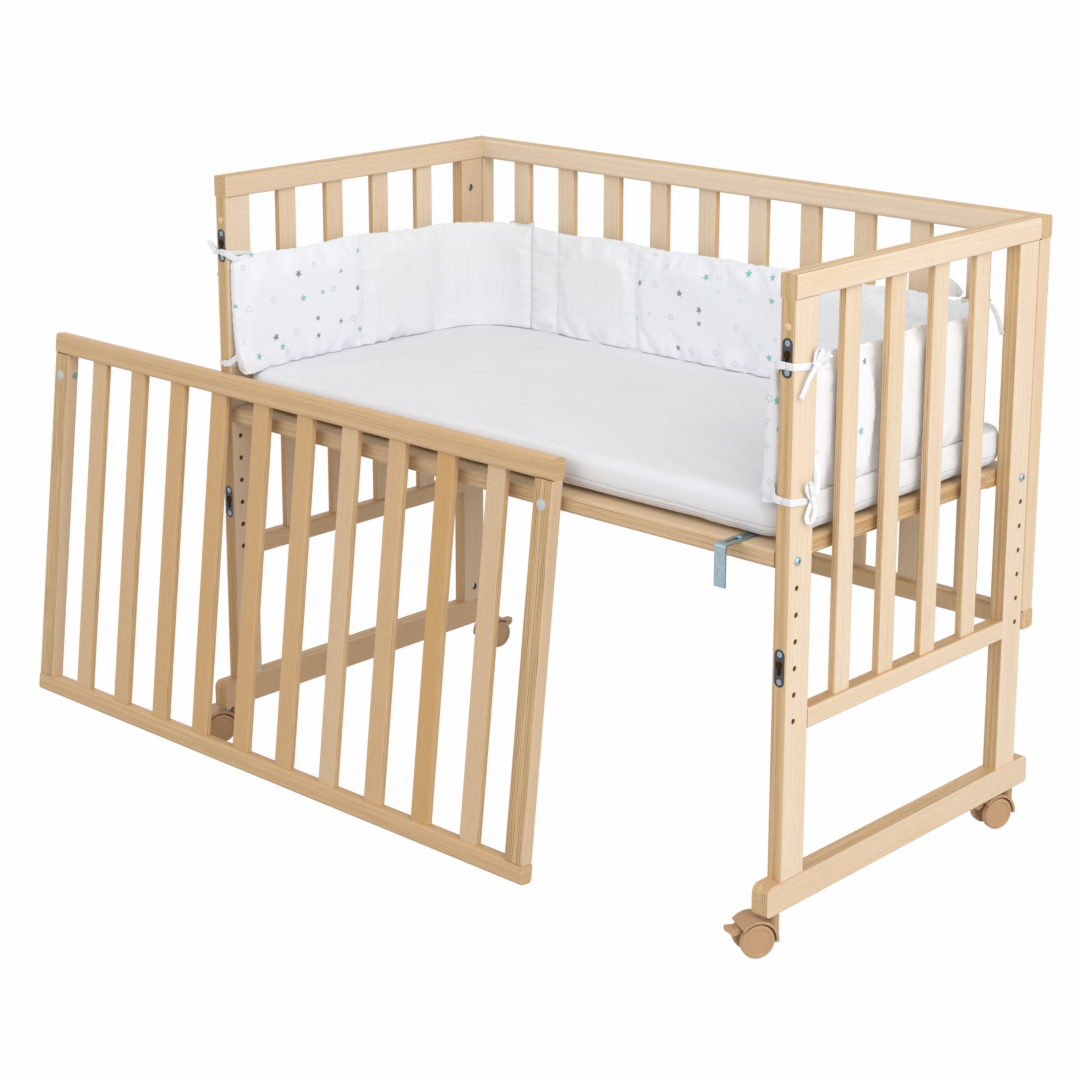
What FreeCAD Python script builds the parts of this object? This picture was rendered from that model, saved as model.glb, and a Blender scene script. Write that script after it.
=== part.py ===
"""Bedside sleeper crib on casters, with its open side's barred panel taken off and leant against it.

Millimetres. X runs along the crib, -Y is the open side, +Z is up, and the floor is z = 0.
The pieces are built about the crib's own centre. The last lines move them all so that the
frame's origin is at the middle of the underside of the whole object's bounding box.
"""
import FreeCAD
import Part
import math
import os

# Overall frame
crib_length = 945.0         # outside, along X
frame_depth = 475.0         # end frames, front face to back face of the posts
crib_height = 772.5         # floor to the top of the top rails
fit_gap = 0.1               # glued or bolted wood to wood, per side
soft_gap = 0.3              # cloth and foam to what they lie against
press_gap = 0.02            # pins held fast in their own piece
running_gap = 0.05          # radial, pins that turn

# End frames
post_thick = 20.0
post_width = 41.0
top_rail_height = 28.0
end_rail_thick = 22.0       # top rails and feet
foot_height = 35.5
foot_bottom = 49.0          # above the floor
foot_front_reach = 25.0     # beyond the front posts
foot_back_reach = 28.0
foot_top_radius = 9.0
foot_bottom_radius = 4.0
lower_rail_height = 24.0
lower_rail_top = 278.5
tenon_thick = 8.0
tenon_depth = 14.0
post_tenon_width = 25.0
rail_tenon_height = 16.0
post_edge = 2.0             # rounding of the long edges
rail_edge = 2.5

# Slats
slat_width = 30.0
slat_thick = 10.0
slat_edge = 2.5
mortise_depth = 10.0
end_slat_count = 4
panel_slat_count = 10
panel_slat_margin = 49.5    # of the crib's length, at each end, that the slats don't share

# Height setting holes in the posts, the base's bolts are in the top row
level_hole_radius = 3.25
level_hole_low = 271.0
level_pitch = 30.7
level_count = 7
level_inset = 14.5          # from the outer face of the post, along Y

# Long side panels: one bolted at the back, one loose
panel_height = 516.5
loose_extra = 5.0           # the loose panel is this much longer than the crib
panel_top_height = 28.0      # top and bottom rails of the panels
panel_bottom_height = 25.0
back_thick = 24.0
back_stile_width = 22.0
loose_thick = 20.0
loose_stile_width = 29.0
panel_edge = 5.0
stile_edge = 3.0
panel_lean_reach = 63.0     # from the posts' front faces to the loose panel's lower edge line
panel_offset = -329.0       # middle of the loose panel, along X

# Bolts and nuts
bolt_radius = 3.0
bolt_head_radius = 5.2
bolt_head_height = 2.8
hex_recess = 4.0            # across flats
hex_recess_depth = 1.6
dome_edge_share = 0.35      # of a domed head's height that is its straight rim
barrel_radius = 5.0
barrel_length = 14.0
level_bolt_length = 62.0
level_nut_inset = 33.0      # from the end of the base rail
back_bolt_length = 55.0
back_bolt_insets = (61.0, 68.0)     # above the back panel's lower edge, below its top
back_nut_inset = 24.0       # from the post's back face
foot_bolt_length = 64.0
foot_nut_rise = 20.5        # above the top of the foot
foot_bolt_sink = 6.0        # counterbore under the foot

# Keyhole plates on the front posts, studs on the loose panel
keyhole_insets = (78.0, 91.5)       # above the panel's lower edge, below its top
plate_height = 44.0
plate_width = 14.0
plate_thick = 1.6
keyhole_entry_radius = 4.8
keyhole_entry_rise = 3.5    # entry circle's centre above the plate's
keyhole_slot_width = 5.2
keyhole_slot_drop = 6.0     # slot's lower arc centre below the plate's
pocket_depth = 9.0
plate_screw_rise = 16.0
plate_screw_head_radius = 3.2
plate_screw_radius = 1.6
plate_screw_length = 13.0
stud_neck_radius = 2.2
stud_head_radius = 4.2
stud_neck_length = 2.4
stud_head_length = 2.0
stud_shank_length = 14.0
cap_drop = 58.0             # cover caps on the front posts, below the crib's top
cap_radius = 4.6
cap_dome = 2.4
cap_pin_radius = 3.5
cap_pin_length = 9.0
panel_cap_radius = 7.0
panel_cap_dome = 1.4
panel_cap_drop = 57.5       # below the loose panel's top

# Base
base_end_gap = 1.5          # base to post
base_rail_height = 20.0
base_rail_width = 60.0
base_end_width = 40.0
base_edge = 4.0
rebate_width = 15.0
rebate_depth = 5.0
base_slat_thick = 8.0
base_slat_width = 50.0
base_slat_count = 7
base_slat_margin = 30.0     # from an end rail to the first slat

# Bed hook
hook_inset = 55.0           # its middle, from the right post
hook_width = 15.5
hook_thick = 2.2
hook_reach = 26.0           # outer face of the drop leg, in front of the base
hook_drop = 49.0
hook_top_length = 60.0
hook_bend_radius = 3.0
hook_slot_width = 5.0
hook_slot_length = 45.0
hook_slot_inset = 9.5       # from the outer face of the drop leg
hook_screw_inset = 8.5      # from the base's front face
hook_screw_radius = 2.0
hook_screw_head_radius = 4.2
hook_screw_head_height = 2.5
hook_screw_length = 15.0
hook_running_gap = 0.1

# Mattress and bumper
mattress_end_gap = 1.5      # mattress to post
mattress_front_inset = 15.5  # behind the posts' front faces
mattress_back_gap = 9.5
mattress_thick = 45.0
mattress_crown = 5.0
mattress_corner = 34.0
bumper_top_gap = 72.7       # under the top rails, at its front ends
bumper_dip = 9.0            # its top edge hangs this much lower along the back
bumper_thick = 17.0
bumper_seam_thick = 9.0
bumper_edge_thick = 8.0
bumper_post_gap = 2.0       # room for the tapes
bumper_front = 5.5          # its ends stand this far behind the posts' front faces
bumper_corner = 82.0        # centre line
bumper_left_seam = -17.0     # places along Y and X, where cloth and mesh meet
bumper_right_seam = -53.0
bumper_back_seams = (-339.0, -291.0, -141.0, 141.0, 291.0, 339.0)
seam_draw = 14.0            # length over which the padding draws in to a seam
tape_width = 9.0
tape_thick = 1.4
tape_insets = (7.2, 1.8)    # above the bumper's lower edge, below its upper one
back_tape_drop = 16.8
bow_length = 17.0
bow_drop = 20.0

# Casters: local +X is the way the wheels trail, local origin on the stem's axis at the floor
wheel_radius = 20.0
wheel_inner = 7.5           # inner face, from the middle plane
wheel_thick = 9.5
wheel_edge = 2.2
wheel_dish = 1.0
trail = 24.0
axle_radius = 2.5
axle_half = 13.5
hood_gap = 2.0              # fender to wheel
hood_wall = 3.0
hood_half = 17.0
hood_web_half = 4.0
hood_from = 41.0            # degrees from the trailing side, round the axle
hood_to = 186.0
stem_boss_radius = 7.0
stem_boss_bottom = 12.0
stem_boss_top = 45.4
stem_radius = 4.0
stem_seat = 30.0
stem_top = 76.0
stem_collar_radius = 6.0
stem_collar_height = 2.0
socket_radius = 5.5
socket_flange_radius = 8.5
socket_flange = 1.2
socket_depth = 30.0
socket_inset = 25.5         # from the end of the foot
lever_pivot_radius = 23.5   # from the axle
lever_pivot_angle = 30.0
lever_hub_radius = 3.0
lever_pin_radius = 1.2
lever_half = 8.0
lever_tip = 59.0            # from the stem's axis
lever_thick = 3.6
lever_root_drop = 4.8
lever_slot_gap = 0.3
# the way each caster trails, in degrees about Z from +X
caster_turn = {"front_right": -119.0, "front_left": -115.0, "back_right": -109.0, "back_left": 83.0}

# Places that follow from the sizes above
half_length = crib_length / 2
half_depth = frame_depth / 2
end_plane = half_length - end_rail_thick / 2      # middle of the end frames, along X
post_inner = end_plane - post_thick / 2
post_outer = end_plane + post_thick / 2
post_mid = half_depth - post_width / 2
foot_top = foot_bottom + foot_height
top_rail_bottom = crib_height - top_rail_height
lower_rail_bottom = lower_rail_top - lower_rail_height
level_top = level_hole_low + level_pitch * (level_count - 1)
base_length = 2 * (post_inner - base_end_gap)
base_slat_span = base_length - 2 * (base_end_width + base_slat_margin)
level_y = half_depth - level_inset
base_bottom = level_top - base_rail_height / 2
base_top = level_top + base_rail_height / 2
base_slat_top = base_top - rebate_depth + base_slat_thick
mattress_length = 2 * (post_inner - mattress_end_gap)
mattress_width = frame_depth - mattress_front_inset - mattress_back_gap
mattress_mid_y = (mattress_front_inset - mattress_back_gap) / 2
mattress_bottom = base_slat_top + soft_gap
mattress_top = mattress_bottom + mattress_thick
bumper_bottom = mattress_top + soft_gap
bumper_height = top_rail_bottom - bumper_top_gap - bumper_bottom
bumper_top = bumper_bottom + bumper_height
tape_heights = (bumper_bottom + tape_insets[0], bumper_top - tape_insets[1])
back_tape_height = bumper_top - back_tape_drop
panel_bottom = crib_height - panel_height
panel_slat_pitch = (crib_length - 2 * panel_slat_margin) / panel_slat_count
back_bolt_heights = (panel_bottom + back_bolt_insets[0], crib_height - back_bolt_insets[1])
keyhole_heights = (panel_bottom + keyhole_insets[0], crib_height - keyhole_insets[1])
cap_height = crib_height - cap_drop
hook_x = post_inner - hook_inset
loose_length = crib_length + loose_extra
back_mid_y = half_depth + back_thick / 2
loose_stile_mid = (loose_length - loose_stile_width) / 2
socket_front = -(half_depth + foot_front_reach - socket_inset)
socket_back = half_depth + foot_back_reach - socket_inset
# the loose panel turns about the middle of its lower inner rounded edge, which stands on the floor
lean_pivot_y = -(half_depth + panel_lean_reach)
lean_pivot_z = panel_edge
lean_rise = panel_height - 2 * panel_edge
lean_sine = (panel_lean_reach - panel_edge - soft_gap) / lean_rise
lean_angle = math.degrees(math.asin(lean_sine))

x_axis = FreeCAD.Vector(1, 0, 0)
y_axis = FreeCAD.Vector(0, 1, 0)
z_axis = FreeCAD.Vector(0, 0, 1)


def vec(x, y, z):
    return FreeCAD.Vector(x, y, z)


def box(low, high):
    """A block between two corners given in any order."""
    corner = [min(a, b) for a, b in zip(low, high)]
    size = [abs(b - a) for a, b in zip(low, high)]
    return Part.makeBox(size[0], size[1], size[2], vec(*corner))


def board(low, high, grain, radius):
    """A block whose four edges along the grain (0, 1 or 2 for X, Y or Z) are rounded."""
    block = box(low, high)
    along = [edge for edge in block.Edges if abs(edge.tangentAt(0)[grain]) > 0.99]
    return block.makeFillet(radius, along)


def rod(start, direction, radius, length):
    return Part.makeCylinder(radius, length, start, direction)


def fuse(shapes):
    return shapes[0].multiFuse(shapes[1:]).removeSplitter() if len(shapes) > 1 else shapes[0]


def cut(shape, tools):
    return shape.cut(Part.makeCompound(tools)) if tools else shape


def spread(count, span, width):
    """Middles of equal bars with equal gaps, the gaps beside the frame included."""
    gap = (span - count * width) / (count + 1)
    first = -span / 2 + gap + width / 2
    return [first + index * (gap + width) for index in range(count)]


def hex_prism(centre, direction, across, depth):
    """A six-sided recess tool, its first face at the centre point."""
    radius = across / math.sqrt(3)
    turn = FreeCAD.Rotation(z_axis, direction)
    points = []
    for index in range(7):
        angle = math.radians(60 * index)
        points.append(centre + turn.multVec(vec(radius * math.cos(angle), radius * math.sin(angle), 0)))
    return Part.Face(Part.makePolygon(points)).extrude(direction * depth)


def dome_head(seat, direction, radius, height):
    """A low domed head on a flat seat: a revolved outline whose arc is part of a ball."""
    edge = dome_edge_share * height
    rise = height - edge
    ball = (radius ** 2 + rise ** 2) / (2 * rise)
    half = math.asin(radius / ball) / 2
    rim = vec(radius, 0, 0)
    shoulder = vec(radius, 0, edge)
    middle = vec(ball * math.sin(half), 0, height - ball + ball * math.cos(half))
    crown = vec(0, 0, height)
    outline = [
        Part.makeLine(vec(0, 0, 0), rim),
        Part.makeLine(rim, shoulder),
        Part.Arc(shoulder, middle, crown).toShape(),
        Part.makeLine(crown, vec(0, 0, 0)),
    ]
    head = Part.Face(Part.Wire(outline)).revolve(vec(0, 0, 0), z_axis, 360)
    head.Placement = FreeCAD.Placement(seat, FreeCAD.Rotation(z_axis, direction))
    return head


def bolt(seat, inward, length):
    """A domed socket bolt: the head stands on its seat and the shank runs inward."""
    head = dome_head(seat, -inward, bolt_head_radius, bolt_head_height)
    top = seat - inward * bolt_head_height
    recess = hex_prism(top, inward, hex_recess, hex_recess_depth)
    return fuse([head, rod(seat, inward, bolt_radius, length)]).cut(recess)


def barrel_nut(middle, direction, cross):
    """A steel barrel with a cross hole that the bolt runs through."""
    start = middle - direction * (barrel_length / 2)
    hole = rod(middle - cross * (2 * barrel_radius), cross, bolt_radius + press_gap, 4 * barrel_radius)
    return rod(start, direction, barrel_radius, barrel_length).cut(hole)


# ---------------------------------------------------------------- end frames

def end_slat_places():
    return spread(end_slat_count, frame_depth - 2 * post_width, slat_width)


def end_mortises(side, low, high):
    """Pockets for the end slats in a rail, between two heights."""
    half = slat_thick / 2 + fit_gap
    reach = slat_width / 2 + fit_gap
    return [
        box((side * end_plane - half, y - reach, low), (side * end_plane + half, y + reach, high))
        for y in end_slat_places()
    ]


def post_tenon(side, y, low, high, grow):
    half = tenon_thick / 2 + grow
    reach = post_tenon_width / 2 + grow
    return box((side * end_plane - half, y - reach, low), (side * end_plane + half, y + reach, high))


def top_rail(side):
    x = side * end_plane
    rail = board((x - end_rail_thick / 2, -half_depth, top_rail_bottom),
                 (x + end_rail_thick / 2, half_depth, crib_height), 1, rail_edge)
    tools = end_mortises(side, top_rail_bottom - 1, top_rail_bottom + mortise_depth)
    for y in (-post_mid, post_mid):
        tools.append(post_tenon(side, y, top_rail_bottom - 1, top_rail_bottom + tenon_depth + fit_gap, fit_gap))
    return cut(rail, tools)


def lower_rail(side):
    x = side * end_plane
    reach = half_depth - post_width
    rail = board((x - post_thick / 2, -reach, lower_rail_bottom), (x + post_thick / 2, reach, lower_rail_top),
                 1, rail_edge)
    middle = (lower_rail_bottom + lower_rail_top) / 2
    tongue = box((x - tenon_thick / 2, -reach - tenon_depth, middle - rail_tenon_height / 2),
                 (x + tenon_thick / 2, reach + tenon_depth, middle + rail_tenon_height / 2))
    return cut(fuse([rail, tongue]), end_mortises(side, lower_rail_top - mortise_depth, lower_rail_top + 1))


def end_slats(side):
    x = side * end_plane
    low = lower_rail_top - mortise_depth + fit_gap
    high = top_rail_bottom + mortise_depth - fit_gap
    return Part.makeCompound([
        board((x - slat_thick / 2, y - slat_width / 2, low), (x + slat_thick / 2, y + slat_width / 2, high),
              2, slat_edge)
        for y in end_slat_places()
    ])


def level_holes(side, y):
    start = side * (post_outer + 1)
    return [
        rod(vec(start, y, level_hole_low + index * level_pitch), x_axis * -side, level_hole_radius, post_thick + 2)
        for index in range(level_count)
    ]


def nut_bore(side, y, z):
    """A blind bore for a barrel nut, in the inner face of a post."""
    start = side * (post_inner - 1)
    reach = barrel_length + (post_thick - barrel_length) / 2 + 1
    return rod(vec(start, y, z), x_axis * side, barrel_radius + press_gap, reach)


def post_blank(side, y_side):
    """A post with its two tenons, its height setting holes and the lower rail's mortise."""
    x = side * end_plane
    y = y_side * post_mid
    post = board((x - post_thick / 2, y - post_width / 2, foot_top), (x + post_thick / 2, y + post_width / 2,
                                                                     top_rail_bottom), 2, post_edge)
    pins = post_tenon(side, y, foot_top - tenon_depth, top_rail_bottom + tenon_depth, 0)
    middle = (lower_rail_bottom + lower_rail_top) / 2
    near = y_side * (half_depth - post_width)
    far = near + y_side * (tenon_depth + fit_gap)
    half = tenon_thick / 2 + fit_gap
    reach = rail_tenon_height / 2 + fit_gap
    mortise = box((x - half, near - y_side, middle - reach), (x + half, far, middle + reach))
    bolt_top = foot_bottom + foot_bolt_sink + foot_bolt_length + fit_gap
    bolt_hole = rod(vec(x, y, foot_bottom), z_axis, bolt_radius + press_gap, bolt_top - foot_bottom)
    tools = [mortise, bolt_hole, nut_bore(side, y, foot_top + foot_nut_rise)]
    return cut(fuse([post, pins]), tools + level_holes(side, y_side * level_y))


def oblong(width, height, thick):
    """A slot-shaped plate standing in the XZ plane, its front at y = 0 and its thickness towards +Y."""
    half = width / 2
    rise = height / 2 - half
    outline = [
        Part.makeLine(vec(half, 0, -rise), vec(half, 0, rise)),
        Part.Arc(vec(half, 0, rise), vec(0, 0, rise + half), vec(-half, 0, rise)).toShape(),
        Part.makeLine(vec(-half, 0, rise), vec(-half, 0, -rise)),
        Part.Arc(vec(-half, 0, -rise), vec(0, 0, -rise - half), vec(half, 0, -rise)).toShape(),
    ]
    return Part.Face(Part.Wire(outline)).extrude(vec(0, thick, 0))


def moved(shape, x, y, z):
    copy = shape.copy()
    copy.translate(vec(x, y, z))
    return copy


def keyhole_places():
    return [(side, z) for side in (-1, 1) for z in keyhole_heights]


def keyhole_tool():
    """The keyhole's entry circle and the slot below it, through the plate."""
    entry = rod(vec(0, -1, keyhole_entry_rise), y_axis, keyhole_entry_radius, plate_thick + 2)
    half = keyhole_slot_width / 2
    foot = rod(vec(0, -1, -keyhole_slot_drop), y_axis, half, plate_thick + 2)
    throat = box((-half, -1, -keyhole_slot_drop), (half, plate_thick + 1, keyhole_entry_rise))
    return fuse([entry, foot, throat])


def front_post(side):
    post = post_blank(side, -1)
    face = -half_depth
    x = side * end_plane
    recess = oblong(plate_width + 2 * fit_gap, plate_height + 2 * fit_gap, plate_thick + 1 + fit_gap)
    pocket_height = keyhole_entry_rise + keyhole_slot_drop + 2 * keyhole_entry_radius
    pocket = oblong(2 * keyhole_entry_radius + 1, pocket_height + 1, pocket_depth + 1)
    pocket_z = (keyhole_entry_rise - keyhole_slot_drop) / 2
    tools = [rod(vec(x, face - 1, cap_height), y_axis, cap_pin_radius + press_gap, cap_pin_length + 1 + fit_gap)]
    for z in keyhole_heights:
        tools.append(moved(recess, x, face - 1, z))
        tools.append(moved(pocket, x, face - 1, z + pocket_z))
        for rise in (-plate_screw_rise, plate_screw_rise):
            start = vec(x, face, z + rise)
            tools.append(rod(start, y_axis, plate_screw_radius + press_gap, plate_screw_length + fit_gap))
    return cut(post, tools)


def back_post(side):
    post = post_blank(side, 1)
    x = side * end_plane
    nut_y = half_depth - back_nut_inset
    tools = []
    for z in back_bolt_heights:
        depth = back_bolt_length - back_thick + fit_gap
        tools.append(rod(vec(x, half_depth + 1, z), -y_axis, bolt_radius + press_gap, depth + 1))
        tools.append(nut_bore(side, nut_y, z))
    return cut(post, tools)


def foot(side):
    """A long foot with rounded ends, its mortises for the posts and its bores for the caster sockets."""
    x = side * end_plane
    low = vec(x - end_rail_thick / 2, -(half_depth + foot_front_reach), foot_bottom)
    length = frame_depth + foot_front_reach + foot_back_reach
    bar = Part.makeBox(end_rail_thick, length, foot_height, low)
    across = [edge for edge in bar.Edges if abs(edge.tangentAt(0).x) > 0.99]
    upper = [edge for edge in across if edge.CenterOfMass.z > foot_bottom + foot_height / 2]
    bar = bar.makeFillet(foot_top_radius, upper)
    across = [edge for edge in bar.Edges if abs(edge.CenterOfMass.z - foot_bottom) < 0.01
              and edge.Length < end_rail_thick + 1 and abs(edge.CenterOfMass.x - x) < 0.01]
    bar = bar.makeFillet(foot_bottom_radius, across)
    tools = [post_tenon(side, y, foot_top - tenon_depth - fit_gap, foot_top + 1, fit_gap)
             for y in (-post_mid, post_mid)]
    for y in (socket_front, socket_back):
        tools.append(rod(vec(x, y, foot_bottom - 1), z_axis, socket_radius + press_gap, socket_depth + 1 + fit_gap))
    for y in (-post_mid, post_mid):
        tools.append(rod(vec(x, y, foot_bottom - 1), z_axis, bolt_radius + press_gap, foot_height + 2))
        tools.append(rod(vec(x, y, foot_bottom - 1), z_axis, bolt_head_radius + fit_gap, foot_bolt_sink + 1))
    return cut(bar, tools)


# ---------------------------------------------------------------- long side panels

def panel_slat_places():
    first = -(panel_slat_count - 1) * panel_slat_pitch / 2
    return [first + index * panel_slat_pitch for index in range(panel_slat_count)]


def panel_pieces(middle_x, face_y, bottom, length, thick, stile_width):
    """An upright barred panel: two full-length rails, two stiles and slats let into the rails.

    face_y is the face that looks at +Y, the panel's thickness runs from it towards -Y."""
    top = bottom + panel_height
    back = face_y - thick
    mid_y = face_y - thick / 2
    stile_mid = (length - stile_width) / 2
    half = slat_thick / 2 + fit_gap
    reach = slat_width / 2 + fit_gap
    places = [middle_x + x for x in panel_slat_places()]
    upper_low = top - panel_top_height
    lower_high = bottom + panel_bottom_height

    def rail(low, high, pocket_low, pocket_high):
        bar = board((middle_x - length / 2, back, low), (middle_x + length / 2, face_y, high), 0, panel_edge)
        pockets = [box((x - reach, mid_y - half, pocket_low), (x + reach, mid_y + half, pocket_high))
                   for x in places]
        for side in (-1, 1):
            x = middle_x + side * stile_mid
            grow = tenon_thick / 2 + fit_gap
            pockets.append(box((x - grow, mid_y - grow, pocket_low), (x + grow, mid_y + grow, pocket_high)))
        return cut(bar, pockets)

    def stile(side):
        x = middle_x + side * stile_mid
        post = board((x - stile_width / 2, back, lower_high), (x + stile_width / 2, face_y, upper_low), 2, stile_edge)
        grow = tenon_thick / 2
        pin = box((x - grow, mid_y - grow, lower_high - mortise_depth + fit_gap),
                  (x + grow, mid_y + grow, upper_low + mortise_depth - fit_gap))
        return fuse([post, pin])

    slats = [
        board((x - slat_width / 2, mid_y - slat_thick / 2, lower_high - mortise_depth + fit_gap),
              (x + slat_width / 2, mid_y + slat_thick / 2, upper_low + mortise_depth - fit_gap), 2, slat_edge)
        for x in places
    ]
    return {
        "top_rail": rail(upper_low, top, upper_low - 1, upper_low + mortise_depth),
        "bottom_rail": rail(bottom, lower_high, lower_high - mortise_depth, lower_high + 1),
        "left_stile": stile(-1),
        "right_stile": stile(1),
        "slats": Part.makeCompound(slats),
    }


def back_panel():
    pieces = panel_pieces(0, half_depth + back_thick, panel_bottom, crib_length, back_thick, back_stile_width)
    for side, name in ((-1, "left_stile"), (1, "right_stile")):
        tools = [rod(vec(side * end_plane, half_depth - 1, z), y_axis, bolt_radius + press_gap, back_thick + 2)
                 for z in back_bolt_heights]
        pieces[name] = cut(pieces[name], tools)
    return pieces


def loose_panel():
    """The open side's panel, modelled upright over its lower edge's middle line and then leant."""
    inner = lean_pivot_y + panel_edge
    pieces = panel_pieces(panel_offset, inner, 0, loose_length, loose_thick, loose_stile_width)
    cap_z = panel_height - panel_cap_drop
    caps = []
    nuts = []
    studs = []
    for side, name in ((-1, "left_stile"), (1, "right_stile")):
        x = panel_offset + side * loose_stile_mid
        plate_x = panel_offset + side * end_plane
        outer = inner - loose_thick
        tools = [rod(vec(x, outer - 1, cap_z), y_axis, cap_pin_radius + press_gap, cap_pin_length + 1 + fit_gap)]
        caps.append(fuse([dome_head(vec(x, outer, cap_z), -y_axis, panel_cap_radius, panel_cap_dome),
                          rod(vec(x, outer, cap_z), y_axis, cap_pin_radius, cap_pin_length)]))
        nut_face = panel_offset + side * (loose_length / 2 - loose_stile_width)
        nut_depth = barrel_length
        nut_mid = nut_face + side * nut_depth / 2
        nut_y = inner - 0.3 * loose_thick
        nuts.append(barrel_nut(vec(nut_mid, nut_y, cap_z), x_axis, y_axis))
        tools.append(rod(vec(nut_face - side, nut_y, cap_z), x_axis * side, barrel_radius + press_gap,
                         nut_depth + 1 + fit_gap))
        for z in keyhole_heights:
            seat = vec(plate_x, inner, z - panel_bottom)
            neck = rod(seat - y_axis * stud_shank_length, y_axis, stud_neck_radius,
                       stud_shank_length + stud_neck_length)
            head = rod(seat + y_axis * stud_neck_length, y_axis, stud_head_radius, stud_head_length)
            studs.append(fuse([neck, head]))
            tools.append(rod(seat + y_axis, -y_axis, stud_neck_radius + press_gap, stud_shank_length + 1 + fit_gap))
        pieces[name] = cut(pieces[name], tools)
    pieces["cover_caps"] = Part.makeCompound(caps)
    pieces["barrel_nuts"] = Part.makeCompound(nuts)
    pieces["hanging_studs"] = Part.makeCompound(studs)
    for shape in pieces.values():
        shape.rotate(vec(0, lean_pivot_y, lean_pivot_z), x_axis, -lean_angle)
    return pieces


# ---------------------------------------------------------------- base

def base_long_rail(side):
    """The front (-1) or back (1) rail of the base, laid flat, with the slats' rebate and the nuts' bores."""
    outer = side * half_depth
    inner = outer - side * base_rail_width
    rail = board((-base_length / 2, outer, base_bottom), (base_length / 2, inner, base_top), 0, base_edge)
    rebate = box((-base_slat_span / 2 - fit_gap, inner - side, base_top - rebate_depth),
                 (base_slat_span / 2 + fit_gap, inner + side * rebate_width, base_top + 1))
    tools = [rebate]
    for end in (-1, 1):
        start = vec(end * (base_length / 2 + 1), side * level_y, level_top)
        depth = level_bolt_length - (post_outer - base_length / 2) + fit_gap
        tools.append(rod(start, x_axis * -end, bolt_radius + press_gap, depth + 1))
        nut = vec(end * (base_length / 2 - level_nut_inset), side * level_y, base_bottom - 1)
        reach = 1 + base_rail_height / 2 + barrel_length / 2
        tools.append(rod(nut, z_axis, barrel_radius + press_gap, reach))
        inset = base_end_width / 2
        middle = end * (base_length / 2 - inset)
        half = rail_tenon_height / 2 + fit_gap
        grow = tenon_thick / 2 + fit_gap
        tools.append(box((middle - half, inner - side, level_top - grow),
                         (middle + half, inner + side * (tenon_depth + fit_gap), level_top + grow)))
    if side < 0:
        tools.append(rod(vec(hook_x, -(half_depth - hook_screw_inset), base_top + 1), -z_axis,
                         hook_screw_radius + press_gap, hook_screw_length + 1))
    return cut(rail, tools)


def base_end_rail(side):
    reach = half_depth - base_rail_width
    outer = side * base_length / 2
    rail = board((outer, -reach, base_bottom), (outer - side * base_end_width, reach, base_top), 1, base_edge)
    middle = outer - side * base_end_width / 2
    half = rail_tenon_height / 2
    tongue = box((middle - half, -reach - tenon_depth, level_top - tenon_thick / 2),
                 (middle + half, reach + tenon_depth, level_top + tenon_thick / 2))
    return fuse([rail, tongue])


def base_slats():
    reach = half_depth - base_rail_width + rebate_width - fit_gap
    pitch = (base_slat_span - base_slat_width) / (base_slat_count - 1)
    low = base_slat_top - base_slat_thick
    slats = []
    for index in range(base_slat_count):
        x = -base_slat_span / 2 + base_slat_width / 2 + index * pitch
        slats.append(board((x - base_slat_width / 2, -reach, low), (x + base_slat_width / 2, reach, base_slat_top),
                           1, slat_edge))
    return Part.makeCompound(slats)


# ---------------------------------------------------------------- fasteners

def level_bolts():
    return Part.makeCompound([
        bolt(vec(side * post_outer, y, level_top), x_axis * -side, level_bolt_length)
        for side in (-1, 1) for y in (-level_y, level_y)
    ])


def barrel_nuts():
    nut_x = base_length / 2 - level_nut_inset
    nuts = [barrel_nut(vec(side * nut_x, y, level_top), z_axis, x_axis)
            for side in (-1, 1) for y in (-level_y, level_y)]
    nuts += [barrel_nut(vec(side * end_plane, half_depth - back_nut_inset, z), x_axis, y_axis)
             for side in (-1, 1) for z in back_bolt_heights]
    nuts += [barrel_nut(vec(side * end_plane, y, foot_top + foot_nut_rise), x_axis, z_axis)
             for side in (-1, 1) for y in (-post_mid, post_mid)]
    return Part.makeCompound(nuts)


def foot_bolts():
    return Part.makeCompound([
        bolt(vec(side * end_plane, y, foot_bottom + foot_bolt_sink), z_axis, foot_bolt_length)
        for side in (-1, 1) for y in (-post_mid, post_mid)
    ])


def back_panel_bolts():
    return Part.makeCompound([
        bolt(vec(side * end_plane, half_depth + back_thick, z), -y_axis, back_bolt_length)
        for side in (-1, 1) for z in back_bolt_heights
    ])


def keyhole_plates():
    """Oblong steel plates let in flush, each with a keyhole and two countersunk screw holes."""
    plate = oblong(plate_width, plate_height, plate_thick)
    tools = [keyhole_tool()]
    for rise in (-plate_screw_rise, plate_screw_rise):
        tools.append(Part.makeCone(plate_screw_head_radius + press_gap, plate_screw_radius + press_gap, plate_thick,
                                   vec(0, 0, rise), y_axis))
    plate = cut(plate, tools)
    return Part.makeCompound([moved(plate, side * end_plane, -half_depth, z) for side, z in keyhole_places()])


def keyhole_screws():
    """Countersunk cross-slot screws, flush with the plates."""
    head = Part.makeCone(plate_screw_head_radius, plate_screw_radius, plate_thick, vec(0, 0, 0), y_axis)
    screw = fuse([head, rod(vec(0, 0, 0), y_axis, plate_screw_radius, plate_screw_length)])
    arm = 0.62 * plate_screw_head_radius
    slot = 0.45
    deep = 0.8
    cross = [box((-arm, -1, -slot), (arm, deep, slot)), box((-slot, -1, -arm), (slot, deep, arm))]
    screw = cut(screw, cross)
    return Part.makeCompound([
        moved(screw, side * end_plane, -half_depth, z + rise)
        for side, z in keyhole_places() for rise in (-plate_screw_rise, plate_screw_rise)
    ])


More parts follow.
